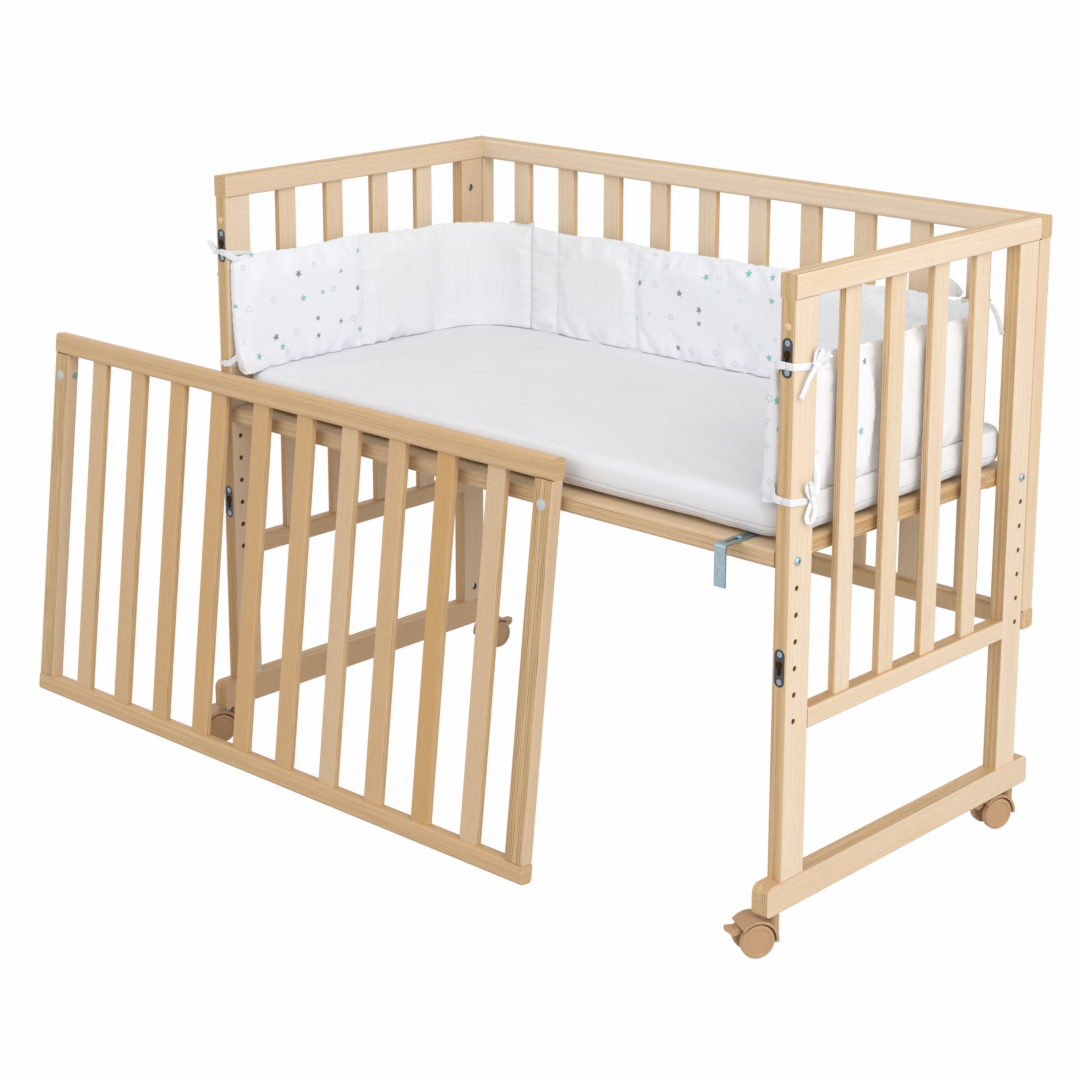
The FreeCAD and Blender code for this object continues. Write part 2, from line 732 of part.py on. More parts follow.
def post_caps():
    caps = []
    for side in (-1, 1):
        seat = vec(side * end_plane, -half_depth, cap_height)
        caps.append(fuse([dome_head(seat, -y_axis, cap_radius, cap_dome),
                          rod(seat, y_axis, cap_pin_radius, cap_pin_length)]))
    return Part.makeCompound(caps)


def bed_hook():
    """A bent steel strap: a slotted top leg on the base and a drop leg in front of it."""
    low = base_top + hook_running_gap
    high = low + hook_thick
    front = -(half_depth + hook_reach)
    back = front + hook_top_length
    inner = front + hook_thick
    bottom = high - hook_drop
    outline = Part.makePolygon([
        vec(0, front, bottom), vec(0, front, high), vec(0, back, high), vec(0, back, low), vec(0, inner, low),
        vec(0, inner, bottom), vec(0, front, bottom),
    ])
    strap = Part.Face(outline).extrude(vec(hook_width, 0, 0))
    strap.translate(vec(hook_x - hook_width / 2, 0, 0))
    outer = [edge for edge in strap.Edges
             if abs(edge.CenterOfMass.y - front) < 0.01 and abs(edge.CenterOfMass.z - high) < 0.01]
    strap = strap.makeFillet(hook_bend_radius, outer)
    half = hook_slot_width / 2
    near = front + hook_slot_inset + half
    far = front + hook_slot_inset + hook_slot_length - half
    slot = fuse([
        box((hook_x - half, near, low - 1), (hook_x + half, far, high + 1)),
        rod(vec(hook_x, near, low - 1), z_axis, half, hook_thick + 2),
        rod(vec(hook_x, far, low - 1), z_axis, half, hook_thick + 2),
    ])
    return strap.cut(slot)


def hook_screw():
    seat = base_top + hook_thick + 2 * hook_running_gap
    middle = vec(hook_x, -(half_depth - hook_screw_inset), seat)
    head = dome_head(middle, z_axis, hook_screw_head_radius, hook_screw_head_height)
    recess = hex_prism(middle + z_axis * hook_screw_head_height, -z_axis, hook_screw_radius, hex_recess_depth)
    shank = rod(middle, -z_axis, hook_screw_radius, hook_screw_length)
    return fuse([head, shank]).cut(recess)


# ---------------------------------------------------------------- mattress, bumper and tapes

def rounded_outline(half_x, half_y, radius, z):
    """A rectangle with round corners, as four lines and four arcs, seen from above."""
    wire = []
    bend = radius * (1 - math.sqrt(0.5))
    corners = [(1, 1), (-1, 1), (-1, -1), (1, -1)]
    for index, (sx, sy) in enumerate(corners):
        along_x = vec(sx * (half_x - radius), sy * half_y, z)
        along_y = vec(sx * half_x, sy * (half_y - radius), z)
        middle = vec(sx * (half_x - bend), sy * (half_y - bend), z)
        start, end = (along_y, along_x) if index % 2 == 0 else (along_x, along_y)
        wire.append(Part.Arc(start, middle, end).toShape())
        next_sx, next_sy = corners[(index + 1) % 4]
        if index % 2 == 0:
            follow = vec(next_sx * (half_x - radius), next_sy * half_y, z)
        else:
            follow = vec(next_sx * half_x, next_sy * (half_y - radius), z)
        wire.append(Part.makeLine(end, follow))
    return Part.Wire(wire)


def mattress():
    """A foam block with drawn-in sides and a low crown, lofted through round-cornered outlines."""
    levels = [  # share of the thickness, how far the outline lies inside the widest one
        (0.0, 11.0), (0.06, 4.5), (0.2, 1.2), (0.5, 0.0), (0.8, 1.2), (0.94, 4.5), (1.0, 12.0),
    ]
    crown = [(0.55, 0.14), (0.88, 0.27), (1.0, 0.38)]   # the insets as shares of the width
    wires = []
    for share, inset in levels:
        wires.append(rounded_outline(mattress_length / 2 - inset, mattress_width / 2 - inset,
                                     mattress_corner - inset / 2, mattress_bottom + share * mattress_thick))
    for share, width_share in crown:
        inset = width_share * mattress_width
        wires.append(rounded_outline(mattress_length / 2 - inset, mattress_width / 2 - inset,
                                     mattress_corner, mattress_top + share * mattress_crown))
    return moved(Part.makeLoft(wires, True, True), 0, mattress_mid_y, 0)


def bumper_path():
    """The bumper's centre line as straight and round stretches: left side, back, right side."""
    side_x = post_inner - bumper_post_gap - bumper_thick / 2
    back_y = half_depth - bumper_post_gap - bumper_thick / 2
    start_y = -half_depth + bumper_front
    straight = back_y - bumper_corner - start_y
    across = 2 * (side_x - bumper_corner)
    bend = math.pi / 2 * bumper_corner
    return side_x, back_y, start_y, straight, across, bend


def bumper_station(s):
    """The point of the centre line at a length s along it, and the way that faces into the crib."""
    side_x, back_y, start_y, straight, across, bend = bumper_path()
    if s <= straight:
        return vec(-side_x, start_y + s, 0), vec(1, 0, 0)
    if s <= straight + bend:
        angle = (s - straight) / bumper_corner
        inward = vec(math.cos(angle), -math.sin(angle), 0)
        return vec(-side_x + bumper_corner, back_y - bumper_corner, 0) - inward * bumper_corner, inward
    if s <= straight + bend + across:
        return vec(-side_x + bumper_corner + s - straight - bend, back_y, 0), vec(0, -1, 0)
    rest = s - straight - bend - across
    if rest <= bend:
        angle = rest / bumper_corner
        inward = vec(-math.sin(angle), -math.cos(angle), 0)
        return vec(side_x - bumper_corner, back_y - bumper_corner, 0) - inward * bumper_corner, inward
    return vec(side_x, back_y - bumper_corner - (rest - bend), 0), vec(-1, 0, 0)


def bumper_section(s, thick):
    """An upright cushion section: bulged sides between narrow round edges."""
    middle, inward = bumper_station(s)
    back_share = (middle.y + half_depth) / frame_depth
    edge = min(bumper_edge_thick, thick) / 2
    fall = 0.8 * edge
    low = bumper_bottom
    high = bumper_bottom + bumper_height - bumper_dip * back_share ** 2

    def at(across, z):
        return middle + inward * across + z_axis * z

    half_way = (low + high) / 2
    return Part.Wire([
        Part.Arc(at(edge, low + fall), at(thick / 2, half_way), at(edge, high - fall)).toShape(),
        Part.Arc(at(edge, high - fall), at(0, high), at(-edge, high - fall)).toShape(),
        Part.Arc(at(-edge, high - fall), at(-thick / 2, half_way), at(-edge, low + fall)).toShape(),
        Part.Arc(at(-edge, low + fall), at(0, low), at(edge, low + fall)).toShape(),
    ])


def bumper():
    side_x, back_y, start_y, straight, across, bend = bumper_path()
    total = 2 * straight + across + 2 * bend
    seams = [0.0, bumper_left_seam - start_y]
    seams += [straight + bend + across / 2 + x for x in bumper_back_seams]
    seams += [total - (bumper_right_seam - start_y), total]
    stations = set(seams)
    for seam in seams:
        stations.update(s for s in (seam - seam_draw, seam + seam_draw) if 0 < s < total)
    for start in (straight, straight + bend + across):
        stations.update(start + bend * index / 5 for index in range(6))
    wires = []
    last = None
    for s in sorted(stations):
        if last is not None and s - last < 2.0:
            continue
        last = s
        near = min(abs(s - seam) for seam in seams)
        share = min(1.0, near / seam_draw)
        swell = math.sin(share * math.pi / 2)
        wires.append(bumper_section(s, bumper_seam_thick + (bumper_thick - bumper_seam_thick) * swell))
    return Part.makeLoft(wires, True, True)


def tape_ring(low, high, z):
    """A flat tape round an upright piece given by its two plan corners."""
    inner = box((low[0] - soft_gap, low[1] - soft_gap, z - tape_width / 2 - 1),
                (high[0] + soft_gap, high[1] + soft_gap, z + tape_width / 2 + 1))
    grow = soft_gap + tape_thick
    outer = box((low[0] - grow, low[1] - grow, z - tape_width / 2), (high[0] + grow, high[1] + grow, z + tape_width / 2))
    outer = outer.makeFillet(tape_thick, [edge for edge in outer.Edges if abs(edge.tangentAt(0).z) > 0.99])
    return outer.cut(inner)


def bow(side, y, z):
    """A tied bow on the outer face of a post: a knot, two drooping loops and two tails."""
    face = side * (post_outer + soft_gap + tape_thick)
    knot_half = tape_width / 2
    knot = board((face, y - knot_half, z - knot_half), (face + side * 4.0, y + knot_half, z + knot_half), 2, 1.4)
    pieces = [knot]
    for hand, drop in ((-1, 0.55), (1, 1.0)):
        tip = vec(face + side * 1.7, y + hand * 0.5 * bow_length, z - drop * bow_drop)
        root = vec(face + side * 1.7, y + hand * 1.5, z)
        way = tip - root
        span = way.Length
        strip = Part.makeBox(2.6, tape_width * 0.75, span, vec(-1.3, -tape_width * 0.375, 0))
        strip = strip.makeFillet(1.0, [edge for edge in strip.Edges if abs(edge.tangentAt(0).z) > 0.99])
        strip.Placement = FreeCAD.Placement(root, FreeCAD.Rotation(z_axis, way))
        pieces.append(strip)
    return fuse(pieces)


def bumper_ties():
    ties = []
    for side in (-1, 1):
        for z in tape_heights:
            low = (min(side * post_inner, side * post_outer), -half_depth)
            high = (max(side * post_inner, side * post_outer), -half_depth + post_width)
            ring = tape_ring(low, high, z)
            ties.append(fuse([ring, bow(side, -half_depth + 0.75 * post_width, z)]))
        slat = side * panel_slat_places()[-1]
        reach = slat_width / 2
        near = half_depth - bumper_post_gap + tape_thick
        ties.append(tape_ring((slat - reach, near), (slat + reach, back_mid_y + slat_thick / 2), back_tape_height))
    return Part.makeCompound(ties)


# ---------------------------------------------------------------- casters

def sector(radius_in, radius_out, start, end, half):
    """A ring sector about the axle, between two angles, extruded to both sides of the middle plane."""
    def at(radius, angle):
        turn = math.radians(angle)
        return vec(trail + radius * math.cos(turn), -half, wheel_radius + radius * math.sin(turn))

    middle = (start + end) / 2
    outer = Part.Arc(at(radius_out, start), at(radius_out, middle), at(radius_out, end)).toShape()
    inner = Part.Arc(at(radius_in, end), at(radius_in, middle), at(radius_in, start)).toShape()
    first = Part.makeLine(at(radius_out, end), at(radius_in, end))
    last = Part.makeLine(at(radius_in, start), at(radius_out, start))
    return Part.Face(Part.Wire([outer, first, inner, last])).extrude(vec(0, 2 * half, 0))


def lever_pivot():
    turn = math.radians(lever_pivot_angle)
    return trail + lever_pivot_radius * math.cos(turn), wheel_radius + lever_pivot_radius * math.sin(turn)


def caster_hood():
    """The moulded body: a fender over both wheels, a middle web, the axle boss and the stem's boss."""
    inner = wheel_radius + hood_gap
    outer = inner + hood_wall
    pivot_x, pivot_z = lever_pivot()
    fender = sector(inner, outer, hood_from, hood_to, hood_half)
    web = sector(axle_radius, inner + 0.5, lever_pivot_angle - 8, hood_to, hood_web_half)
    ear = rod(vec(pivot_x, -hood_web_half, pivot_z), y_axis, lever_hub_radius, 2 * hood_web_half)
    hub = rod(vec(trail, -wheel_inner + 0.4, wheel_radius), y_axis, 2.2 * axle_radius, 2 * wheel_inner - 0.8)
    boss = rod(vec(0, 0, stem_boss_bottom), z_axis, stem_boss_radius, stem_boss_top - stem_boss_bottom)
    body = fuse([fender, web, ear, hub, boss])
    tools = [
        rod(vec(trail, -hood_half, wheel_radius), y_axis, axle_radius + press_gap, 2 * hood_half),
        rod(vec(pivot_x, -hood_half, pivot_z), y_axis, lever_pin_radius + press_gap, 2 * hood_half),
        rod(vec(0, 0, stem_seat - press_gap), z_axis, stem_radius + press_gap, stem_boss_top),
    ]
    return cut(body, tools)


def caster_pins():
    """The stem with its collar, the axle and the lever's pin."""
    pivot_x, pivot_z = lever_pivot()
    stem = fuse([
        rod(vec(0, 0, stem_seat), z_axis, stem_radius, stem_top - stem_seat),
        rod(vec(0, 0, stem_boss_top), z_axis, stem_collar_radius, stem_collar_height),
    ])
    axle = rod(vec(trail, -axle_half, wheel_radius), y_axis, axle_radius, 2 * axle_half)
    pin = rod(vec(pivot_x, -lever_half, pivot_z), y_axis, lever_pin_radius, 2 * lever_half)
    return Part.makeCompound([stem, axle, pin])


def caster_wheels():
    """Two solid wheels on one axle, each a revolved disc with a rounded rim and a shallow dish."""
    outer = wheel_inner + wheel_thick
    bore = axle_radius + running_gap
    dish = 0.8 * wheel_radius
    rim = wheel_radius - wheel_edge
    arc = wheel_edge * (1 - math.sqrt(0.5))
    bore_end = axle_half + running_gap
    points = [
        (bore, wheel_inner), (rim, wheel_inner), (wheel_radius, wheel_inner + wheel_edge),
        (wheel_radius, outer - wheel_edge), (rim, outer), (dish, outer), (dish - wheel_dish, outer - wheel_dish),
        (0, outer - wheel_dish), (0, bore_end), (bore, bore_end),
    ]
    rounds = {1: (wheel_radius - arc, wheel_inner + arc), 3: (wheel_radius - arc, outer - arc)}
    edges = []
    for index, point in enumerate(points):
        here = vec(point[0], point[1], 0)
        there = points[(index + 1) % len(points)]
        there = vec(there[0], there[1], 0)
        if index in rounds:
            bend = rounds[index]
            edges.append(Part.Arc(here, vec(bend[0], bend[1], 0), there).toShape())
        else:
            edges.append(Part.makeLine(here, there))
    wheel = Part.Face(Part.Wire(edges)).revolve(vec(0, 0, 0), y_axis, 360)
    other = wheel.mirror(vec(0, 0, 0), y_axis)
    return Part.makeCompound([moved(wheel, trail, 0, wheel_radius), moved(other, trail, 0, wheel_radius)])


def caster_brake():
    """The toe lever: a forked paddle on the hood's ear, pressed down to lock the wheels."""
    pivot_x, pivot_z = lever_pivot()
    top = pivot_z + lever_hub_radius
    rise = 1.2
    nose = vec(lever_tip, 0, top + rise - lever_thick / 2)
    upper = vec(lever_tip - lever_thick / 2, 0, top + rise)
    lower = vec(lever_tip - lever_thick / 2, 0, top + rise - lever_thick)
    root = vec(pivot_x + 0.9 * lever_hub_radius, 0, pivot_z - lever_root_drop)
    edges = [
        Part.Arc(vec(pivot_x, 0, top), vec((pivot_x + lever_tip) / 2, 0, top + 0.2), upper).toShape(),
        Part.Arc(upper, nose, lower).toShape(),
        Part.Arc(lower, vec((lower.x + root.x) / 2 + 0.6, 0, (lower.z + root.z) / 2 - 0.6), root).toShape(),
        Part.makeLine(root, vec(pivot_x - 0.3 * lever_hub_radius, 0, pivot_z)),
        Part.makeLine(vec(pivot_x - 0.3 * lever_hub_radius, 0, pivot_z), vec(pivot_x, 0, top)),
    ]
    paddle = Part.Face(Part.Wire(edges)).extrude(vec(0, 2 * lever_half, 0))
    paddle.translate(vec(0, -lever_half, 0))
    tip_edges = [edge for edge in paddle.Edges
                 if edge.CenterOfMass.x > lever_tip - lever_thick and abs(abs(edge.CenterOfMass.y) - lever_half) < 0.01]
    hub = rod(vec(pivot_x, -lever_half, pivot_z), y_axis, lever_hub_radius, 2 * lever_half)
    lever = fuse([paddle, hub])
    slot_half = hood_web_half + lever_slot_gap
    slot = box((pivot_x - 2 * lever_hub_radius, -slot_half, pivot_z - 3 * lever_hub_radius),
               (pivot_x + lever_hub_radius + 0.7, slot_half, pivot_z + 3 * lever_hub_radius))
    hole = rod(vec(pivot_x, -hood_half, pivot_z), y_axis, lever_pin_radius + running_gap, 2 * hood_half)
    plan = Part.makeCylinder(lever_half + 0.01, 60, vec(lever_tip - lever_half, 0, 0), z_axis)
    keep = fuse([plan, box((0, -lever_half - 0.01, 0), (lever_tip - lever_half, lever_half + 0.01, 60))])
    return lever.common(keep).cut(slot).cut(hole)


def caster_sockets():
    """Sleeves pressed into the feet, in which the stems turn."""
    sleeves = []
    for side in (-1, 1):
        for y in (socket_front, socket_back):
            base = vec(side * end_plane, y, foot_bottom)
            sleeve = fuse([
                rod(base, z_axis, socket_radius, socket_depth),
                rod(base - z_axis * socket_flange, z_axis, socket_flange_radius, socket_flange),
            ])
            bore = rod(base - z_axis * (socket_flange + 1), z_axis, stem_radius + running_gap,
                       socket_flange + 1 + stem_top - foot_bottom + running_gap)
            sleeves.append(sleeve.cut(bore))
    return Part.makeCompound(sleeves)


def caster_places():
    """Name, stem position and turn of each caster."""
    places = []
    for name, turn in caster_turn.items():
        row, end = name.split("_")
        y = socket_front if row == "front" else socket_back
        x = end_plane if end == "right" else -end_plane
        places.append((name, x, y, turn))
    return places


def placed_caster(shape, x, y, turn):
    copy = shape.copy()
    copy.Placement = FreeCAD.Placement(vec(x, y, 0), FreeCAD.Rotation(z_axis, turn)).multiply(copy.Placement)
    return copy


# ---------------------------------------------------------------- all pieces

def all_pieces():
    pieces = {}
    for side, end in ((-1, "left"), (1, "right")):
        pieces[end + "_top_rail"] = top_rail(side)
        pieces[end + "_front_post"] = front_post(side)
        pieces[end + "_back_post"] = back_post(side)
        pieces[end + "_lower_rail"] = lower_rail(side)
        pieces[end + "_slats"] = end_slats(side)
        pieces[end + "_foot"] = foot(side)
        pieces["base_" + end + "_rail"] = base_end_rail(side)
    for name, shape in back_panel().items():
        pieces["back_" + name] = shape
    for name, shape in loose_panel().items():
        pieces["panel_" + name] = shape
    pieces["base_front_rail"] = base_long_rail(-1)
    pieces["base_back_rail"] = base_long_rail(1)
    pieces["base_slats"] = base_slats()
    pieces["level_bolts"] = level_bolts()
    pieces["barrel_nuts"] = barrel_nuts()
    pieces["back_panel_bolts"] = back_panel_bolts()
    pieces["foot_bolts"] = foot_bolts()
    pieces["keyhole_plates"] = keyhole_plates()
    pieces["keyhole_screws"] = keyhole_screws()
    pieces["post_caps"] = post_caps()
    pieces["bed_hook"] = bed_hook()
    pieces["hook_screw"] = hook_screw()
    pieces["mattress"] = mattress()
    pieces["bumper"] = bumper()
    pieces["bumper_ties"] = bumper_ties()
    pieces["caster_sockets"] = caster_sockets()
    caster = {"hood": caster_hood(), "pins": caster_pins(), "wheels": caster_wheels(), "brake": caster_brake()}
    for name, x, y, turn in caster_places():
        for kind, shape in caster.items():
            pieces["caster_" + name + "_" + kind] = placed_caster(shape, x, y, turn)
    return pieces


def row_shift(pieces):
    """From the crib's centre to the middle of the whole object's bounding box, on the floor."""
    whole = Part.makeCompound(list(pieces.values())).optimalBoundingBox(False, False)
    return vec(-(whole.XMin + whole.XMax) / 2, -(whole.YMin + whole.YMax) / 2, 0)


def main():
    os.makedirs("parts", exist_ok=True)
    pieces = all_pieces()
    shift = row_shift(pieces)
    for name, shape in pieces.items():
        shape.translate(shift)
        shape.exportStep("parts/" + name + ".step")
    print(len(pieces), "sub-parts, shifted by", round(shift.x, 4), round(shift.y, 4), "mm")
    return pieces, shift


if __name__ == "__main__":
    main()
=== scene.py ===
import bpy
import math
import numpy as np
from mathutils import Matrix, Vector


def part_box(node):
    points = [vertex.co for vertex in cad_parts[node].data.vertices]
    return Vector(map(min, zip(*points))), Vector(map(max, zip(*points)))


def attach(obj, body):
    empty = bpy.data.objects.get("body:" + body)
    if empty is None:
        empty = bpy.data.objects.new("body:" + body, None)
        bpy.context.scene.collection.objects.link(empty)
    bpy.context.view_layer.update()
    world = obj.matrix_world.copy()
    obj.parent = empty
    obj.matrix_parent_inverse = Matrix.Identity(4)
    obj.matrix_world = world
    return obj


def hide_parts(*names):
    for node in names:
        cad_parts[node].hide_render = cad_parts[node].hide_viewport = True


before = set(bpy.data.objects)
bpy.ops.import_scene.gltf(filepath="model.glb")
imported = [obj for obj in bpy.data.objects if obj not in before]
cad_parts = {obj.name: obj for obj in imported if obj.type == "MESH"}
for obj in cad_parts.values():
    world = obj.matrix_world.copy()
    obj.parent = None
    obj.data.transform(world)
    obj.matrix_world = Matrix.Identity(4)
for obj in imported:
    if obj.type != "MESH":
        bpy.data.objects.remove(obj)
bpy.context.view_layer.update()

scene = bpy.context.scene
scene.view_settings.view_transform = "Standard"

# The crib's own middle on the floor. Every place below is given from it, in metres.
bumperLow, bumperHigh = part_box("bumper")
cribMid = Vector(((bumperLow.x + bumperHigh.x) / 2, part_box("back_top_rail")[0].y - 0.2375, 0))
mid = np.array(cribMid)

camera = {"place": (1.9892, -2.2573, 1.2795), "yaw": 42.45, "pitch": 13.83, "roll": 0.20,
          "focal": 2457.6, "imageMiddle": (563.3, 378.0), "imageSize": 1080}
yaw, pitch, roll = (math.radians(camera[key]) for key in ("yaw", "pitch", "roll"))
forward = Vector((-math.sin(yaw) * math.cos(pitch), math.cos(yaw) * math.cos(pitch), -math.sin(pitch)))
level = Vector((math.cos(yaw), math.sin(yaw), 0))
upright = level.cross(forward)
right = level * math.cos(roll) + upright * math.sin(roll)
up = right.cross(forward)
cameraData = bpy.data.cameras.new("photoCamera")
cameraData.lens = camera["focal"] / camera["imageSize"] * cameraData.sensor_width
cameraData.shift_x = (camera["imageSize"] / 2 - camera["imageMiddle"][0]) / camera["imageSize"]
cameraData.shift_y = (camera["imageMiddle"][1] - camera["imageSize"] / 2) / camera["imageSize"]
cameraObject = bpy.data.objects.new("photoCamera", cameraData)
scene.collection.objects.link(cameraObject)
axes = Matrix((right, up, -forward)).transposed().to_4x4()
cameraObject.matrix_world = Matrix.Translation(cribMid + Vector(camera["place"])) @ axes
scene.camera = cameraObject
print("camera set, lens", round(cameraData.lens, 2))


def hexColor(text):
    # sRGB hex to linear: each channel through the sRGB curve
    channels = [int(text[i:i + 2], 16) / 255 for i in (1, 3, 5)]
    return tuple(c / 12.92 if c <= 0.04045 else ((c + 0.055) / 1.055) ** 2.4 for c in channels) + (1.0,)


def feed(tree, node, inputs):
    # gives each input a value, or a link from a socket or from another node's first output
    for key, value in inputs.items():
        if isinstance(value, bpy.types.Node):
            value = value.outputs[0]
        if isinstance(value, bpy.types.NodeSocket):
            tree.links.new(value, node.inputs[key])
        else:
            node.inputs[key].default_value = value


def addNode(tree, kind, inputs=(), operation=None, **settings):
    # one shader node with its settings; its inputs are named in a dictionary or, in a list, given in their
    # own order, which is for a MapRange: value, from low, from high, to low, to high
    node = tree.nodes.new("ShaderNode" + kind)
    if operation:
        node.operation = operation
    for name, value in settings.items():
        setattr(node, name, value)
    feed(tree, node, inputs if isinstance(inputs, dict) else dict(enumerate(inputs)))
    return node


def emptyTree(owner):
    # the node tree of a world or a material, with nothing in it
    owner.use_nodes = True
    owner.node_tree.nodes.clear()
    return owner.node_tree


def seenBy(tree, *rays):
    # 1 for a light ray of any of these kinds, else 0
    path = addNode(tree, "LightPath")
    seen = path.outputs[rays[0]]
    for ray in rays[1:]:
        seen = addNode(tree, "Math", [seen, path.outputs[ray]], "MAXIMUM")
    return seen


light = {"sky": 0.69, "key": 42.0, "keyPlace": (2.6, -1.5, 2.9), "keySize": 2.2,
         "front": 17.0, "frontPlace": (-1.0, -3.4, 1.7), "frontSize": 2.6,
         "side": 24.0, "sidePlace": (3.2, 0.1, 1.1), "sideSize": 2.4}
world = bpy.data.worlds.new("studio")
scene.world = world
# the paper behind the crib is white to the eye, but lights the crib less
tree = emptyTree(world)
seen = seenBy(tree, "Is Camera Ray", "Is Glossy Ray", "Is Transmission Ray")
strength = addNode(tree, "MapRange", [seen, 0.0, 1.0, light["sky"], 1.0])
sky = addNode(tree, "Background", {"Color": (1, 1, 1, 1), "Strength": strength})
addNode(tree, "OutputWorld", {"Surface": sky})
for name in ("key", "front", "side"):
    lamp = bpy.data.lights.new(name, "AREA")
    lamp.energy = light[name]
    lamp.size = light[name + "Size"]
    lampObject = bpy.data.objects.new(name, lamp)
    scene.collection.objects.link(lampObject)
    spot = cribMid + Vector(light[name + "Place"])
    lampObject.location = spot
    lampObject.rotation_euler = (cribMid + Vector((0, 0, 0.4)) - spot).to_track_quat("-Z", "Y").to_euler()
print("lamps set")

floorLook = {"color": "#D2D2D2", "reach": 30.0, "glow": 0.975}
floorMesh = bpy.data.meshes.new("floor")
reach = floorLook["reach"]
floorMesh.from_pydata([(-reach, -reach, 0), (reach, -reach, 0), (reach, reach, 0), (-reach, reach, 0)], [],
                      [(0, 1, 2, 3)])
floorObject = bpy.data.objects.new("floor", floorMesh)
scene.collection.objects.link(floorObject)
floorPaper = bpy.data.materials.new("studioPaper")     # matt white paper that glows to the eye alone
tree = emptyTree(floorPaper)
seen = seenBy(tree, "Is Camera Ray", "Is Glossy Ray")
seen = addNode(tree, "Math", [seen, floorLook["glow"]], "MULTIPLY")
paper = addNode(tree, "BsdfDiffuse", {"Color": hexColor(floorLook["color"])})
glow = addNode(tree, "Emission", {"Color": (1, 1, 1, 1), "Strength": 1.0})
both = addNode(tree, "MixShader", [seen, paper, glow])
addNode(tree, "OutputMaterial", {"Surface": both})
floorMesh.materials.append(floorPaper)
print("floor set")


def newFinish(name, **shader):
    # an empty material with one Principled shader; underscores in the names of its sockets stand for spaces
    material = bpy.data.materials.new(name)
    tree = emptyTree(material)
    surface = addNode(tree, "BsdfPrincipled", {key.replace("_", " "): value for key, value in shader.items()})
    addNode(tree, "OutputMaterial", {"Surface": surface})
    return material, tree, surface


def coat(tree, surface, color, height, strength, distance, rough=None):
    # the last step of a material: its colour, its relief from a height, and its roughness where that varies
    bump = addNode(tree, "Bump", {"Height": height, "Strength": strength, "Distance": distance})
    feed(tree, surface, {"Base Color": color, "Normal": bump, **({"Roughness": rough} if rough else {})})


def mottled(tree, color, dim, share):
    # a colour that goes over to its dimmed self by a share
    dark = tuple(dim * channel for channel in hexColor(color)[:3]) + (1.0,)
    return addNode(tree, "Mix", {"Factor": share, 6: hexColor(color), 7: dark}, data_type="RGBA").outputs[2]


def dress(nodeName, material):
    # gives a solid of the frame its one material
    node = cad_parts[nodeName]
    node.data.materials.clear()
    node.data.materials.append(material)


# Beech and pine, glued up in layers, planed, sanded and clear lacquered: broad faces pale and smooth with
# faint streaks, edges tan with rows of thin brown lines where the layers come out, each board its own tone.
# A noise's values say how many fit into a metre across and along the fibres, and how far it is shifted from
# the others: slow bends 62 mm wide, clouds 25 mm, streaks 1.4 mm, gaps in the lines 2.4 mm, pores 0.7 mm.
woodLook = {"pale": "#ECDCC7", "warm": "#E3C69F", "tan": "#CFA162", "amber": "#D3A160", "edgePale": "#E4C497",
            "edgeDeep": "#C89F6A", "line": "#7E5229", "dark": "#543519", "pocket": "#95693C", "ring": 0.009,
            "layer": 2.5, "roughness": 0.46, "relief": 0.3, "boreDepth": 0.0012, "slatSpread": 0.22,
            "bend": (16, 1.6, 1.0), "cloud": (40, 4.0, 6.0), "streak": (700, 7.0, 2.0),
            "gap": (420, 12.0, 5.0), "pore": (1500, 90.0, 3.0)}


